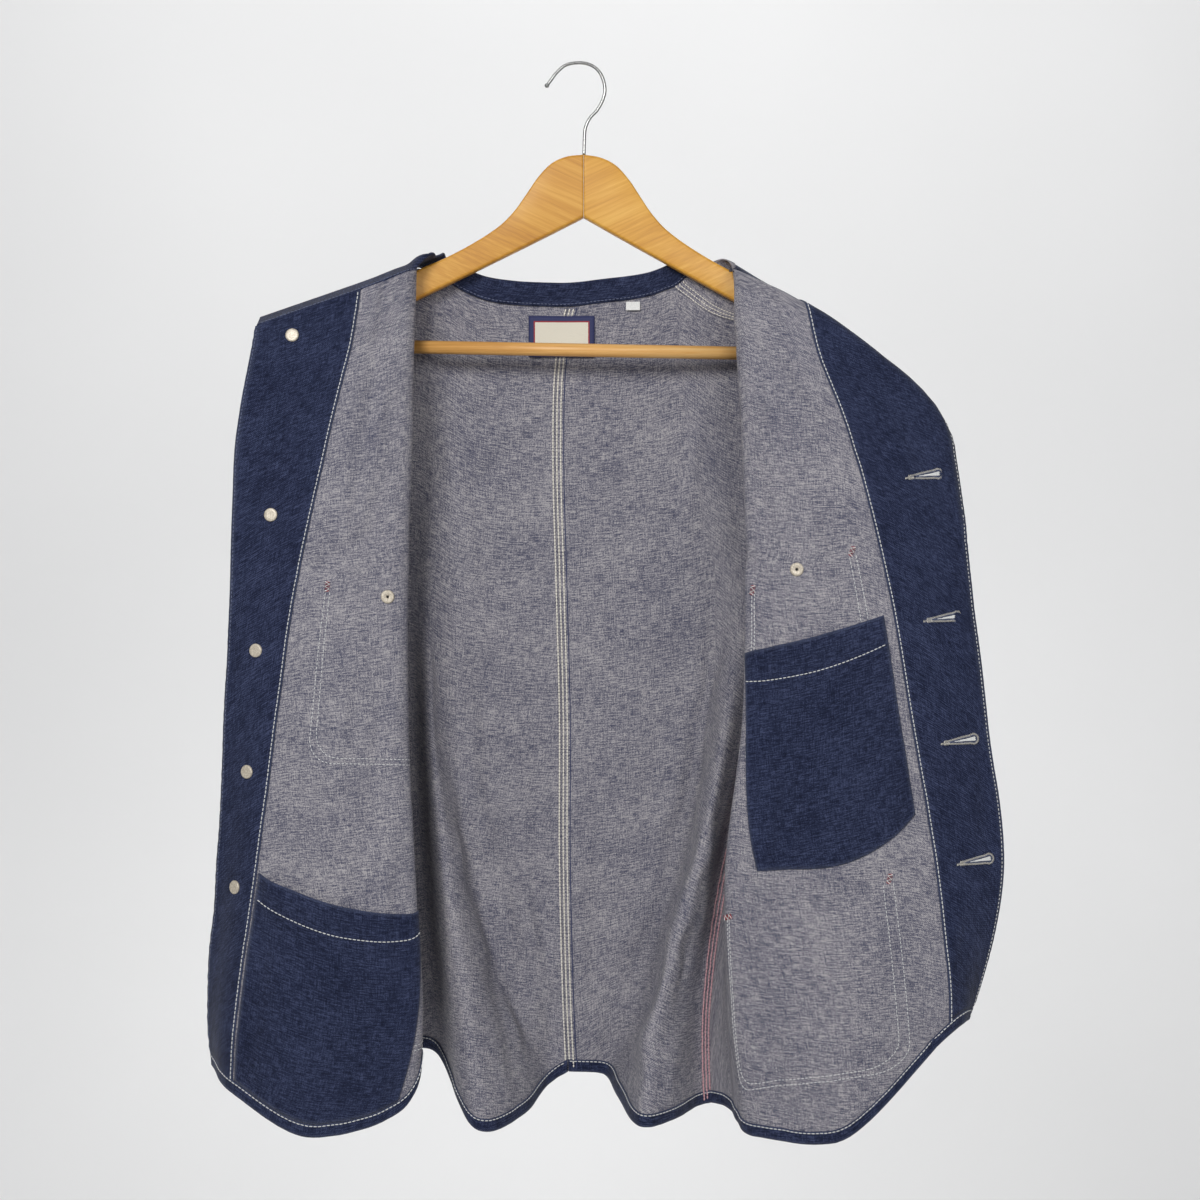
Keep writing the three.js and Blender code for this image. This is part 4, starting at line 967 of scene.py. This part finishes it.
def band_surface(route):
    """A function of u along the band and v down it."""
    rows = [band_row(*stop) for stop in route]
    bases = [base for base, upward in rows]
    tops = [base + upward for base, upward in rows]
    lengths = [0]
    for i in range(len(rows) - 1):
        lengths.append(lengths[-1] + max((bases[i + 1] - bases[i]).length, (tops[i + 1] - tops[i]).length, 3))

    def along(values, u):
        total = Vector((0, 0, 0))
        for step in (-2, -1, 0, 1, 2):
            near = clamp(u + step * 0.006) * lengths[-1]
            total += Vector([smooth(lengths, [v[axis] for v in values], near) for axis in range(3)])
        return total / 5

    def place(u, v):
        point = along(tops, u).lerp(along(bases, u), v)
        point.y += 0.5 * math.sin(u * 61) * math.sin(math.pi * v)
        point.y += 0.25 * noise.noise(Vector((u * 40, v * 3, 2)))
        return point
    return place


BAND_PLACES = {name: band_surface(route) for name, route in BAND_ROUTES.items()}
for band_name, band_place in BAND_PLACES.items():
    dark_sheet(band_name, BAND_COLUMNS[band_name], 8, band_place, (), BAND_CLOTH)


# Sleeves and cuffs, hidden behind the open fronts

def tube_sheet(name, rings, side, rows, worn_edges=()):
    """A tube of oval rings, with soft creases on a sleeve. Side is 1 for the right and -1 for the left."""
    count = len(rings["half_depth"])

    def edge_point(key, k):
        x, z = (smooth(range(count), [pair[axis] for pair in rings[key]], k) for axis in (0, 1))
        return Vector((x, ARMHOLE["y"], z))

    def place(u, v):
        k = v * (count - 1)
        outer, inner = edge_point("outer", k), edge_point("inner", k)
        half = (outer - inner) / 2
        deep = smooth(range(count), rings["half_depth"], k) - CLOTH / 2
        angle = 2 * math.pi * u
        sag = 0
        if rings is SLEEVE_RINGS:
            rolls = 1.6 * math.sin(3 * angle + 7 * v) * math.sin(9 * v)
            creases = 1.3 * math.sin(31 * v + 2 * math.sin(angle)) * ease(math.cos(angle - 2.6))
            sag = ease(v * 5) * ease((1 - v) * 6) * (rolls + creases - 1.4)
        point = (outer + inner) / 2 + half.normalized() * math.cos(angle) * (half.length - CLOTH / 2 + sag)
        point.y += math.sin(angle) * (deep + sag)
        point.x *= side
        return point
    return cloth_sheet(name, 72, rows, place, [WRONG_SIDE, RIGHT_SIDE], "denim_dark", CLOTH, worn_edges,
                       (place(0, 0.5), Vector((side, 0, 0))))


for side_name, side_sign in SIDES.items():
    tube_sheet("sleeve_" + side_name, SLEEVE_RINGS, side_sign, 120)
    tube_sheet("cuff_" + side_name, CUFF_RINGS, side_sign, 10,
                                             ("top", "bottom"))


# Label and tag on the inside of the back

def back_patch(name, size, material, slot, curl):
    def place(u, v):
        x = mix(size["left"], size["right"], u)
        z = mix(size["top"], size["bottom"], v)
        panel = "back_left" if x > panel_flat("back_left", 0, z, 1)[0] else "back_right"
        k = station_at(panel, x, z, 0.0, len(TABLES[panel]["stations"]) - 1.0, 1)
        lift = CLOTH / 2 + LABEL_CLOTH + 1.0 + curl * v * v
        return Vector((x, sample(panel, k, z)[0].y - lift, z))
    return cloth_sheet(name, 24, 12, place, [material], slot, LABEL_CLOTH)


back_patch("neck_label", LABEL, LABEL_LOOK, "label_cloth", 0.6)
back_patch("size_tag", SIZE_TAG, TAG_CLOTH, "tag_cloth", 1.6)


# Tacks and buttons, as profiles of radius and height, spun round

DISC_PROFILE = [(0, 1.5), (3.0, 1.55), (4.9, 1.65), (5.5, 1.45), (6.0, 0.8), (5.9, 0)]
TACK_PROFILE = [(1.2, 0.9), (1.5, 1.35), (2.4, 1.5), (3.6, 1.55), (4.6, 1.75), (5.5, 1.45), (6.0, 0.8),
                (5.9, 0)]
BUTTON_PROFILE = [(0, 2.5), (2.5, 2.55), (5.6, 2.4), (6.4, 2.9), (7.5, 3.3), (8.2, 2.8), (8.5, 1.8),
                  (8.0, 0.6)]
KNURL = {"height": 0.12, "count": 12, "from": 2.6, "to": 5}


def solid_piece(name, bm, materials, slot):
    bmesh.ops.recalc_face_normals(bm, faces=bm.faces[:])
    return finish_piece(name, bm, materials, slot)


def stud(name, side, spot, profile, facing, base):
    """A tack on the inside of a front (facing 1) or a button on its outside (facing -1)."""
    panel = "front_" + side
    point, normal, across = sample(panel, station_at(panel, *spot), spot[1])
    normal = normal * facing
    bm = bmesh.new()
    verts = [bm.verts.new((r * MM, 0, h * MM)) for r, h in profile]
    edges = [bm.edges.new(pair) for pair in zip(verts, verts[1:])]
    bmesh.ops.spin(bm, geom=verts + edges, cent=(0, 0, 0), axis=(0, 0, 1), angle=2 * math.pi, steps=36)
    bmesh.ops.remove_doubles(bm, verts=bm.verts[:], dist=0.00001)
    hole, depth = profile[0]
    if hole:
        for vert in bm.verts:
            if KNURL["from"] < vert.co.xy.length / MM < KNURL["to"]:
                turn = math.atan2(vert.co.y, vert.co.x)
                vert.co.z += KNURL["height"] * MM * math.cos(KNURL["count"] * turn)
        # A near-black disc just under the hole's lip: painted shade standing in for the depth of the hollow
        pit = bmesh.ops.create_circle(bm, cap_ends=True, radius=hole * MM, segments=18)
        for vert in pit["verts"]:
            vert.co.z += (depth - 0.5) * MM
        for face in {f for v in pit["verts"] for f in v.link_faces}:
            face.material_index = 1
    lean = Vector((0, 0, 1)).rotation_difference(normal).to_matrix().to_4x4()
    place = Matrix.Translation((point + normal * base) * MM) @ lean
    bmesh.ops.transform(bm, matrix=place, verts=bm.verts[:])
    material, slot = (TACK_METAL, "tack_back") if facing > 0 else (BUTTON_METAL, "button_metal")
    solid_piece(name, bm, [material, HOLE_PAINTED_SHADE], slot)


for number, tack_spot in enumerate(RIGHT_TACKS, 1):
    stud(f"tack_{number}", "right", tack_spot, DISC_PROFILE, 1, ON_LAYER)
    stud(f"button_{number}", "right", tack_spot, BUTTON_PROFILE, -1, CLOTH / 2 + BUTTON_STAND)
for side_name, tack_spot in POCKET_TACKS.items():
    stud("pocket_tack_" + side_name, side_name, tack_spot, TACK_PROFILE, 1, CLOTH / 2)
    stud("pocket_button_" + side_name, side_name, tack_spot, BUTTON_PROFILE, -1,
         ON_LAYER + POCKET_BUTTON_STAND)


# Sewing

THREADS = {}

# Stitches as length, gap and thread radius
SEAM_STITCH = (2.8, 0.3, 0.8)
SHOULDER_STITCH = (2.4, 0.5, 0.5)
POCKET_STITCH = (2.4, 1.2, 0.36)
BAND_STITCH = (2.4, 1.1, 0.36)


def add_thread(group, material, radius, points):
    strands = THREADS.setdefault(group, {"material": material, "splines": [], "radius": radius})
    strands["splines"].append(points)


def run_lengths(points):
    runs = [0]
    for a, b in zip(points, points[1:]):
        runs.append(runs[-1] + (b - a).length)
    return runs


def along_run(points, runs, distance):
    """The point at a distance along points, and the number of its stretch."""
    j = span_of(runs, distance)
    share = clamp((distance - runs[j]) / max(runs[j + 1] - runs[j], 1e-9))
    return points[j].lerp(points[j + 1], share), j


def thread_run(group, points, material, length=2.9, gap=0.9, radius=0.48):
    """Adds a row of stitches along points in mm to a named group of threads."""
    runs = run_lengths(points)
    start = 0.4
    while start + length < runs[-1]:
        stitch = [along_run(points, runs, start + length * share)[0] for share in (0, 0.3, 0.7, 1)]
        add_thread(group, material, radius, stitch)
        start += length + gap


def panel_line(panel, path, height, offset=0, step=2.5):
    """Points over a panel along a path of (k, z), with so many mm to the side."""
    points = []
    for (k0, z0), (k1, z1) in zip(path, path[1:]):
        count = max(2, int((lifted(panel, k1, z1, 0) - lifted(panel, k0, z0, 0)).length / step))
        for i in range(count):
            points.append(lifted(panel, mix(k0, k1, i / count), mix(z0, z1, i / count), height, offset))
    points.append(lifted(panel, *path[-1], height, offset))
    return points


def column_line(panel, k, height, offset, top_gap=2, foot_gap=2, top=None):
    """A line down a panel at station k, from top_gap below its top edge or from the height top."""
    start = top or height_at(panel, k, "top") - top_gap
    path = [(k, z) for z in spread(start, height_at(panel, k, "hem") + foot_gap, 40)]
    return panel_line(panel, path, height, offset)


def edge_line(panel, row, drop, start, end, count, height):
    """A line that stays so many mm below a panel's top or hem row."""
    path = [(k, height_at(panel, k, row) - drop) for k in spread(start, end, count)]
    return panel_line(panel, path, height)


def seam_rows(group, panel, k, offsets, material, top=None):
    """Rows of stitches beside a seam, which show on the inside."""
    for offset in offsets:
        thread_run(group, column_line(panel, k, ON_PANEL + 0.2, offset, 3, 1.5, top), material, *SEAM_STITCH)


# The backs' seams, and the felled edge beside the centre seam
seam_rows("centre_back_stitches", "back_left", 0, (-1.6, 2.0, 5.6), CREAM_THREAD)
for row_offset in (-2.0, -5.6):
    row = column_line("back_left", 0.02, -ON_PANEL, row_offset)
    thread_run("centre_back_outer_stitches", row, CREAM_THREAD, 2.6, 1.0, 0.4)
add_thread("centre_back_fell_edge", NAVY_THREAD, 0.5, column_line("back_left", 0, CLOTH / 2, 8.4))
seam_rows("side_seam_stitches_left", "back_left", 6, (-1.5, -5.2, -8.9), PINK_THREAD, -486)
seam_rows("side_seam_stitches_right", "back_right", 0, (1.5, 5.2, 8.9), PINK_THREAD, -486)

for row_drop in (2, 6, 10):
    for side_name, row_panel, row_ends, row_heights in (
            ("left", "front_left", (2.0, 0.2), (-ON_PANEL, ON_PANEL)),
            ("right", "back_right", (0.2, 2.0), (-ON_PANEL,))):
        for row_height in row_heights:
            row = edge_line(row_panel, "top", row_drop, *row_ends, 30, row_height)
            thread_run("shoulder_stitches_" + side_name, row, CREAM_THREAD, *SHOULDER_STITCH)

for side_name, edge_thread in (("right", GREY_THREAD), ("left", WHITE_THREAD)):
    panel_name = "front_" + side_name
    row = column_line(panel_name, FACING, OVER_LAYER, 2.2, 3, HEM_HEIGHT)
    thread_run("facing_stitches_" + side_name, row, WHITE_THREAD)
    row = column_line(panel_name, FACING + 1, OVER_LAYER, -2.0, 3)
    thread_run("front_edge_stitches_" + side_name, row, edge_thread, 2.2, 1.4, 0.34)

for panel_name, panel_table in TABLES.items():
    last_station = len(panel_table["stations"]) - 1
    for row_height in (OVER_LAYER, -ON_PANEL):
        row = edge_line(panel_name, "hem", 1.6 - HEM_HEIGHT, 0.05, last_station - 0.05, 60, row_height)
        thread_run("hem_stitches_" + panel_name, row, WHITE_THREAD)


def surface_line(place, uvs, out):
    """Points that stand out from a surface towards the viewer or, if out is below 0, away."""
    points = []
    for u, v in uvs:
        along = place(min(u + 0.002, 1), v) - place(max(u - 0.002, 0), v)
        upward = place(u, v - 0.1) - place(u, v + 0.1)
        points.append(place(u, v) + along.cross(upward).normalized() * out)
    return points


for row_side in (1, -1):
    for band_name, band_steps in (("neck_band", 260), ("neck_band_left", 60)):
        row = surface_line(BAND_PLACES[band_name], [(u, 0.9) for u in spread(0.01, 0.99, band_steps)],
                           row_side * (BAND_CLOTH / 2 + 0.15))
        thread_run("neck_band_stitches", row, GREY_THREAD, *BAND_STITCH)


def pocket_outline(name, inset_k, inset_z, corner_k, corner_z):
    """The path round a pocket's two sides and foot, as (k, z), set in from its edges, with round corners."""
    shape = POCKETS[name]
    path = []
    for k, inward in ((shape["from"] + inset_k, 1), (shape["to"] - inset_k, -1)):
        foot = pocket_foot(name, k) + inset_z + corner_z
        half = [(k, z) for z in spread(pocket_top(name, k) - 2, foot, 14)]
        for angle in spread(0, math.pi / 2, 6)[1:]:
            station = k + inward * corner_k * (1 - math.cos(angle))
            low = pocket_foot(name, station) + inset_z
            half.append((station, low + corner_z * (1 - math.sin(angle))))
        path += half[::inward]
    return path


# Outer pockets: two rows through the front, which show on its inside too
for pocket_name, pocket_shape in POCKETS.items():
    if pocket_shape["side"] < 0:
        for row_insets in ((0.04, 1.6), (0.13, 6.2)):
            pocket_path = pocket_outline(pocket_name, *row_insets, 0.34, 22)
            for row_height in (ON_PANEL, -OVER_LAYER):
                row = panel_line(pocket_shape["panel"], pocket_path, row_height)
                thread_run("pocket_stitches_" + pocket_name, row, WHITE_THREAD, *POCKET_STITCH)

# Inner pockets: a row below the mouth
for pocket_name, row_drop in (("inner_pocket_right", 22), ("inner_pocket_left", 25)):
    pocket_surface = POCKET_PLACES[pocket_name]
    row = []
    for share in spread(0, 1, 80):
        u = mix(0.015, 0.985, share)
        v = (row_drop + 5 * math.sin(math.pi * share)) / (pocket_surface(u, 0) - pocket_surface(u, 1)).length
        point = pocket_surface(u, v)
        outward = (pocket_surface(min(u + 0.01, 1), v) - point).cross(pocket_surface(u, v + 0.01) - point)
        outward = outward.normalized() * (1 if outward.y < 0 else -1)
        row.append(point + outward * (PATCH_CLOTH / 2 + 0.15))
    thread_run("pocket_stitches_" + pocket_name, row, WHITE_THREAD)

# Bar tacks at the outer pockets' top corners: panel, station, height and turn
BAR_TACKS = [
    ("front_right", 5.44, -481, 1.5), ("front_left", 5.64, -450, 1.2), ("front_left", 3.86, -484, 1.4),
    ("front_left", 3.68, -771, 0.3), ("front_left", 5.55, -735, 1.3),
]
BAR = {"length": 8.5, "width": 4, "thread": 0.55}


def zigzag(i, swing):
    return swing if i % 2 else -swing


def bar_tack(panel, k, z, angle):
    """A short dense zigzag of red thread with white in it."""
    point, normal, across = sample(panel, k, z)
    along = across * math.cos(angle) + normal.cross(across) * math.sin(angle)
    sideways = normal.cross(along)
    for group, rise, material, count in (("bar_tacks", 0, RED_THREAD, 14),
                                         ("bar_tacks_white", 0.4, WHITE_THREAD, 4)):
        centre = point + normal * (ON_PANEL + 0.2 + rise)
        path = [centre + along * (BAR["length"] * (i / count - 0.5)) + sideways * zigzag(i, BAR["width"] / 2)
                for i in range(count + 1)]
        add_thread(group, material, BAR["thread"], path)


for bar_spot in BAR_TACKS:
    bar_tack(*bar_spot)

# Keyhole buttonholes on the left facing: the middle of each, in x and z
BUTTONHOLES = [(305, -383.5), (321, -508.5), (335, -615.5), (348, -720)]
HOLE = {"length": 31, "width": 2.4, "eye": 4.3, "tilt": 0.14, "thread": 0.34, "pitch": 0.5}

# White middle strands: height in the hole, and where each starts and how far short of the eye it ends
MIDDLE_STRANDS = [(-1.5, 4, 0.5), (-0.75, -2, 0), (0, -6, 0.6), (0.75, -1, 0), (1.5, 5, 0.5)]


def keyhole_outline(inset):
    """The outline of a keyhole along x: a slit that opens into a round eye at its right end."""
    half = HOLE["length"] / 2
    eye = HOLE["eye"] - inset
    centre = half - HOLE["eye"]
    upper = [Vector((centre + eye * math.cos(angle), eye * math.sin(angle)))
             for angle in spread(0.72 * math.pi, 0, 16)]
    neck = upper[0]
    for t in spread(0, 1, 12)[1:]:
        width = mix(neck.y, max(HOLE["width"] / 2 - inset, 0.2), ease(t))
        upper.insert(0, Vector((mix(neck.x, 2.5 * inset - half, t), width)))
    return upper + [Vector((p.x, -p.y)) for p in reversed(upper)]


def buttonhole(number, spot):
    point, normal, across = sample("front_left", station_at("front_left", *spot), spot[1])
    along = Vector((math.cos(HOLE["tilt"]), 0, math.sin(HOLE["tilt"])))
    along = (along - normal * along.dot(normal)).normalized()
    upward = Vector((0, 0, 1))
    upward = (upward - normal * upward.dot(normal) - along * upward.dot(along)).normalized()
    centre = point + normal * (OVER_LAYER + 0.15)
    half = HOLE["length"] / 2

    def put(x, z, rise):
        return centre + along * x + upward * z + normal * rise

    for inset, swing, rise, material in ((0, 0.75, 0.35, CREAM_THREAD), (1.25, 0.6, 0.2, GREY_THREAD)):
        outline = keyhole_outline(inset)
        runs = run_lengths(outline)
        overcast = []
        for i, distance in enumerate(spread(0, runs[-1], int(runs[-1] / HOLE["pitch"]))):
            place, j = along_run(outline, runs, distance)
            step = (outline[j + 1] - outline[j]).normalized() * zigzag(i, swing)
            overcast.append(put(place.x - step.y, place.y + step.x, rise))
        add_thread(f"buttonhole_{number}_{material.name}", material, HOLE["thread"], overcast)
    for height, start, short in MIDDLE_STRANDS:
        end = half - HOLE["eye"] + 2 - short
        strand = [put(mix(start, end, t), height * mix(0.4, 1, t), 0.1) for t in spread(0, 1, 6)]
        add_thread(f"buttonhole_{number}_middle", WHITE_THREAD, 0.5, strand)
    tail = [put(x, zigzag(i, 0.8) - 0.4, 0.6) for i, x in enumerate(spread(-half - 3.2, 4.5 - half, 16))]
    add_thread(f"buttonhole_{number}_tail", CREAM_THREAD, HOLE["thread"], tail)


for number, hole_spot in enumerate(BUTTONHOLES, 1):
    buttonhole(number, hole_spot)


def make_threads(name, strands):
    curve = bpy.data.curves.new(name, "CURVE")
    curve.dimensions = "3D"
    curve.bevel_depth = strands["radius"] * MM
    curve.bevel_resolution = 1
    curve.use_fill_caps = True
    for points in strands["splines"]:
        spline = curve.splines.new("POLY")
        spline.points.add(len(points) - 1)
        for index, (target, point) in enumerate(zip(spline.points, points)):
            target.co = (*(point * MM), 1)
            tapered = len(points) == 4 and index in (0, 3)
            target.radius = 0.55 if tapered else 1
    curve.materials.append(strands["material"])
    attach(put_in_scene(name, curve), "root")


for thread_name, thread_strands in THREADS.items():
    make_threads(thread_name, thread_strands)


# The hanger

def loft(columns, rows, place):
    """A closed skin whose columns run round: place(i, j) gives the point in mm, and both ends are filled."""
    bm = bmesh.new()
    bmesh.ops.create_grid(bm, x_segments=columns, y_segments=rows, size=1)
    for vert in bm.verts:
        i, j = round((vert.co.x + 1) / 2 * columns), round((vert.co.y + 1) / 2 * rows)
        vert.co = place(i % columns, j) * MM
    bmesh.ops.remove_doubles(bm, verts=bm.verts[:], dist=0.000002)
    bmesh.ops.holes_fill(bm, edges=[e for e in bm.edges if e.is_boundary], sides=0)
    return bm


ARM_STOPS = spread(ARM_OUTLINE["d"][0], ARM_OUTLINE["d"][-1], 90) + [198.3, 201, 204, 207, 210, 212]
ARM_BEVEL = 3.0


def hanger_arm(name, side, material, slot):
    """A slab with eased edges, lofted along the arm."""
    corners = [(1, 1, 0), (-1, 1, 90), (-1, -1, 180), (1, -1, 270)]

    def place(i, j):
        across, rise, first = corners[i // 5]
        angle = math.radians(first + 22.5 * (i % 5))
        outline = ARM_OUTLINE if ARM_STOPS[j] < ARM_END["d"][0] else ARM_END
        end = smooth(outline["d"], outline["top" if rise > 0 else "bottom"], ARM_STOPS[j]) - rise * ARM_BEVEL
        x = HANGER_CENTRE + side * ARM_STOPS[j]
        y = arm_depth(x) + across * (ARM_THICK / 2 - ARM_BEVEL) + ARM_BEVEL * math.cos(angle)
        return Vector((x, y, end + ARM_BEVEL * math.sin(angle) - HANGER_TILT * (x - HANGER_CENTRE)))
    piece = solid_piece(name, loft(20, len(ARM_STOPS) - 1, place), [material], slot)
    for polygon in piece.data.polygons:
        polygon.use_smooth = len(polygon.vertices) == 4


# The arms take the shaded and the lit copy of one wood: painted shade on the right arm, painted light on the
# left arm
hanger_arm("hanger_arm_right", -1, SHADED_HANGER_WOOD, "hanger_wood")
hanger_arm("hanger_arm_left", 1, LIT_HANGER_WOOD, "hanger_wood_pale")

bar_mesh = bmesh.new()
bmesh.ops.create_cone(bar_mesh, cap_ends=True, segments=48, radius1=BAR_RADIUS * MM, radius2=BAR_RADIUS * MM,
                      depth=2 * BAR_REACH * MM)
bar_turn = Matrix.Rotation(math.atan(BAR_TILT) + math.pi / 2, 4, "Y")
bar_place = Vector((HANGER_CENTRE, arm_depth(HANGER_CENTRE + BAR_REACH), BAR_HEIGHT)) * MM
bmesh.ops.transform(bar_mesh, matrix=Matrix.Translation(bar_place) @ bar_turn, verts=bar_mesh.verts[:])
solid_piece("trouser_bar", bar_mesh, [BAR_WOOD], "bar_wood")

HOOK_SIDES = 16
HOOK_STEPS = 120
hook_corners = [Vector((x, 0, z)) for x, z in HOOK_ROUTE]
hook_knots = run_lengths(hook_corners)
hook_line = [Vector([smooth(hook_knots, [corner[axis] for corner in hook_corners], run) for axis in range(3)])
             for run in spread(0, hook_knots[-1], HOOK_STEPS)]


def hook_point(i, j):
    angle = 2 * math.pi * i / HOOK_SIDES
    ahead = hook_line[min(j + 1, HOOK_STEPS)] - hook_line[max(j - 1, 0)]
    outward = Vector((0, 1, 0)).cross(ahead).normalized() * math.cos(angle)
    return hook_line[j] + (outward + Vector((0, math.sin(angle), 0))) * WIRE_RADIUS


hook_mesh = loft(HOOK_SIDES, HOOK_STEPS, hook_point)
ball = bmesh.ops.create_uvsphere(hook_mesh, u_segments=20, v_segments=12, radius=2.2 * MM)
bmesh.ops.translate(hook_mesh, verts=ball["verts"], vec=hook_line[-1] * MM)
solid_piece("hanger_hook", hook_mesh, [WIRE], "hook_wire")


# Backdrop, lights and camera

# A paper sweep in metres: the wall's distance, the floor's height, the bend's radius and its outer ends
PAPER = {"wall": 4.4, "floor": -2.6, "bend": 0.8, "near": -6, "top": 5, "half_width": 8}


def paper_point(t):
    """A point of the sweep's section, in y and z: floor below 1, bend below 2, then wall."""
    wall, floor, bend = PAPER["wall"], PAPER["floor"], PAPER["bend"]
    if t < 1:
        return mix(PAPER["near"], wall - bend, t), floor
    if t < 2:
        angle = (t - 1) * math.pi / 2
        return wall - bend + bend * math.sin(angle), floor + bend - bend * math.cos(angle)
    return wall, mix(floor + bend, PAPER["top"], t - 2)


def backdrop():
    bm = bmesh.new()
    bmesh.ops.create_grid(bm, x_segments=2, y_segments=60, size=1)
    for vert in bm.verts:
        vert.co = Vector((vert.co.x * PAPER["half_width"], *paper_point((vert.co.y + 1) / 2 * 3)))
    mesh = bpy.data.meshes.new("studio_floor")
    bm.to_mesh(mesh)
    bm.free()
    for polygon in mesh.polygons:
        polygon.use_smooth = True
    material, tree, shader = new_material("studio_paper")
    tone = stretched_noise(tree, object_place(tree), (0.7, 0.7, 0.7), 2, 0.4)
    paper = ramp(tree, tone, [(0.3, (0.80, 0.80, 0.80, 1)), (0.7, (0.84, 0.84, 0.84, 1))])
    tree.links.new(paper, shader.inputs["Base Color"])
    shader.inputs["Roughness"].default_value = 1
    shader.inputs["Specular IOR Level"].default_value = 0
    mesh.materials.append(material)
    put_in_scene("studio_floor", mesh)


# Lights: place, what each looks at, width and height in metres, and power in watts
LIGHTS = {
    "key_light": ((-0.9, -2.7, 0.7), (0, 0, -0.5), (0.9, 0.9), 47),
    "fill_light": ((0.9, -2.7, 0.2), (0, 0, -0.5), (1.2, 1.2), 18),
    "paper_light": ((0, 1.9, 2.8), (0, 4.4, -0.9), (5.0, 0.8), 90),
    "low_paper_light": ((0, 1.9, -2.5), (0, 4.4, -0.2), (5.0, 0.8), 66),
}


def area_light(name, place, target, size, power):
    data = bpy.data.lights.new(name, "AREA")
    data.shape = "RECTANGLE"
    data.size, data.size_y = size
    data.energy = power
    lamp = put_in_scene(name, data)
    lamp.location = place
    lamp.rotation_euler = (Vector(target) - Vector(place)).to_track_quat("-Z", "Y").to_euler()


backdrop()
for light_name, light_values in LIGHTS.items():
    area_light(light_name, *light_values)

world = bpy.data.worlds.new("studio")
world.use_nodes = True
sky = next(n for n in world.node_tree.nodes if n.type == "BACKGROUND")
sky.inputs["Color"].default_value = (0.92, 0.93, 0.95, 1)
sky.inputs["Strength"].default_value = 0.28
bpy.context.scene.world = world
bpy.context.scene.view_settings.view_transform = "Standard"

CAMERA = {"place": (0.020, -1.900, -0.4927), "lens": 61.96, "film": 36, "far": 30}
lens = bpy.data.cameras.new("camera")
lens.sensor_width = CAMERA["film"]
lens.lens = CAMERA["lens"]
lens.clip_end = CAMERA["far"]
camera = put_in_scene("camera", lens)
camera.location = CAMERA["place"]
camera.rotation_euler = (math.pi / 2, 0, 0)
bpy.context.scene.camera = camera
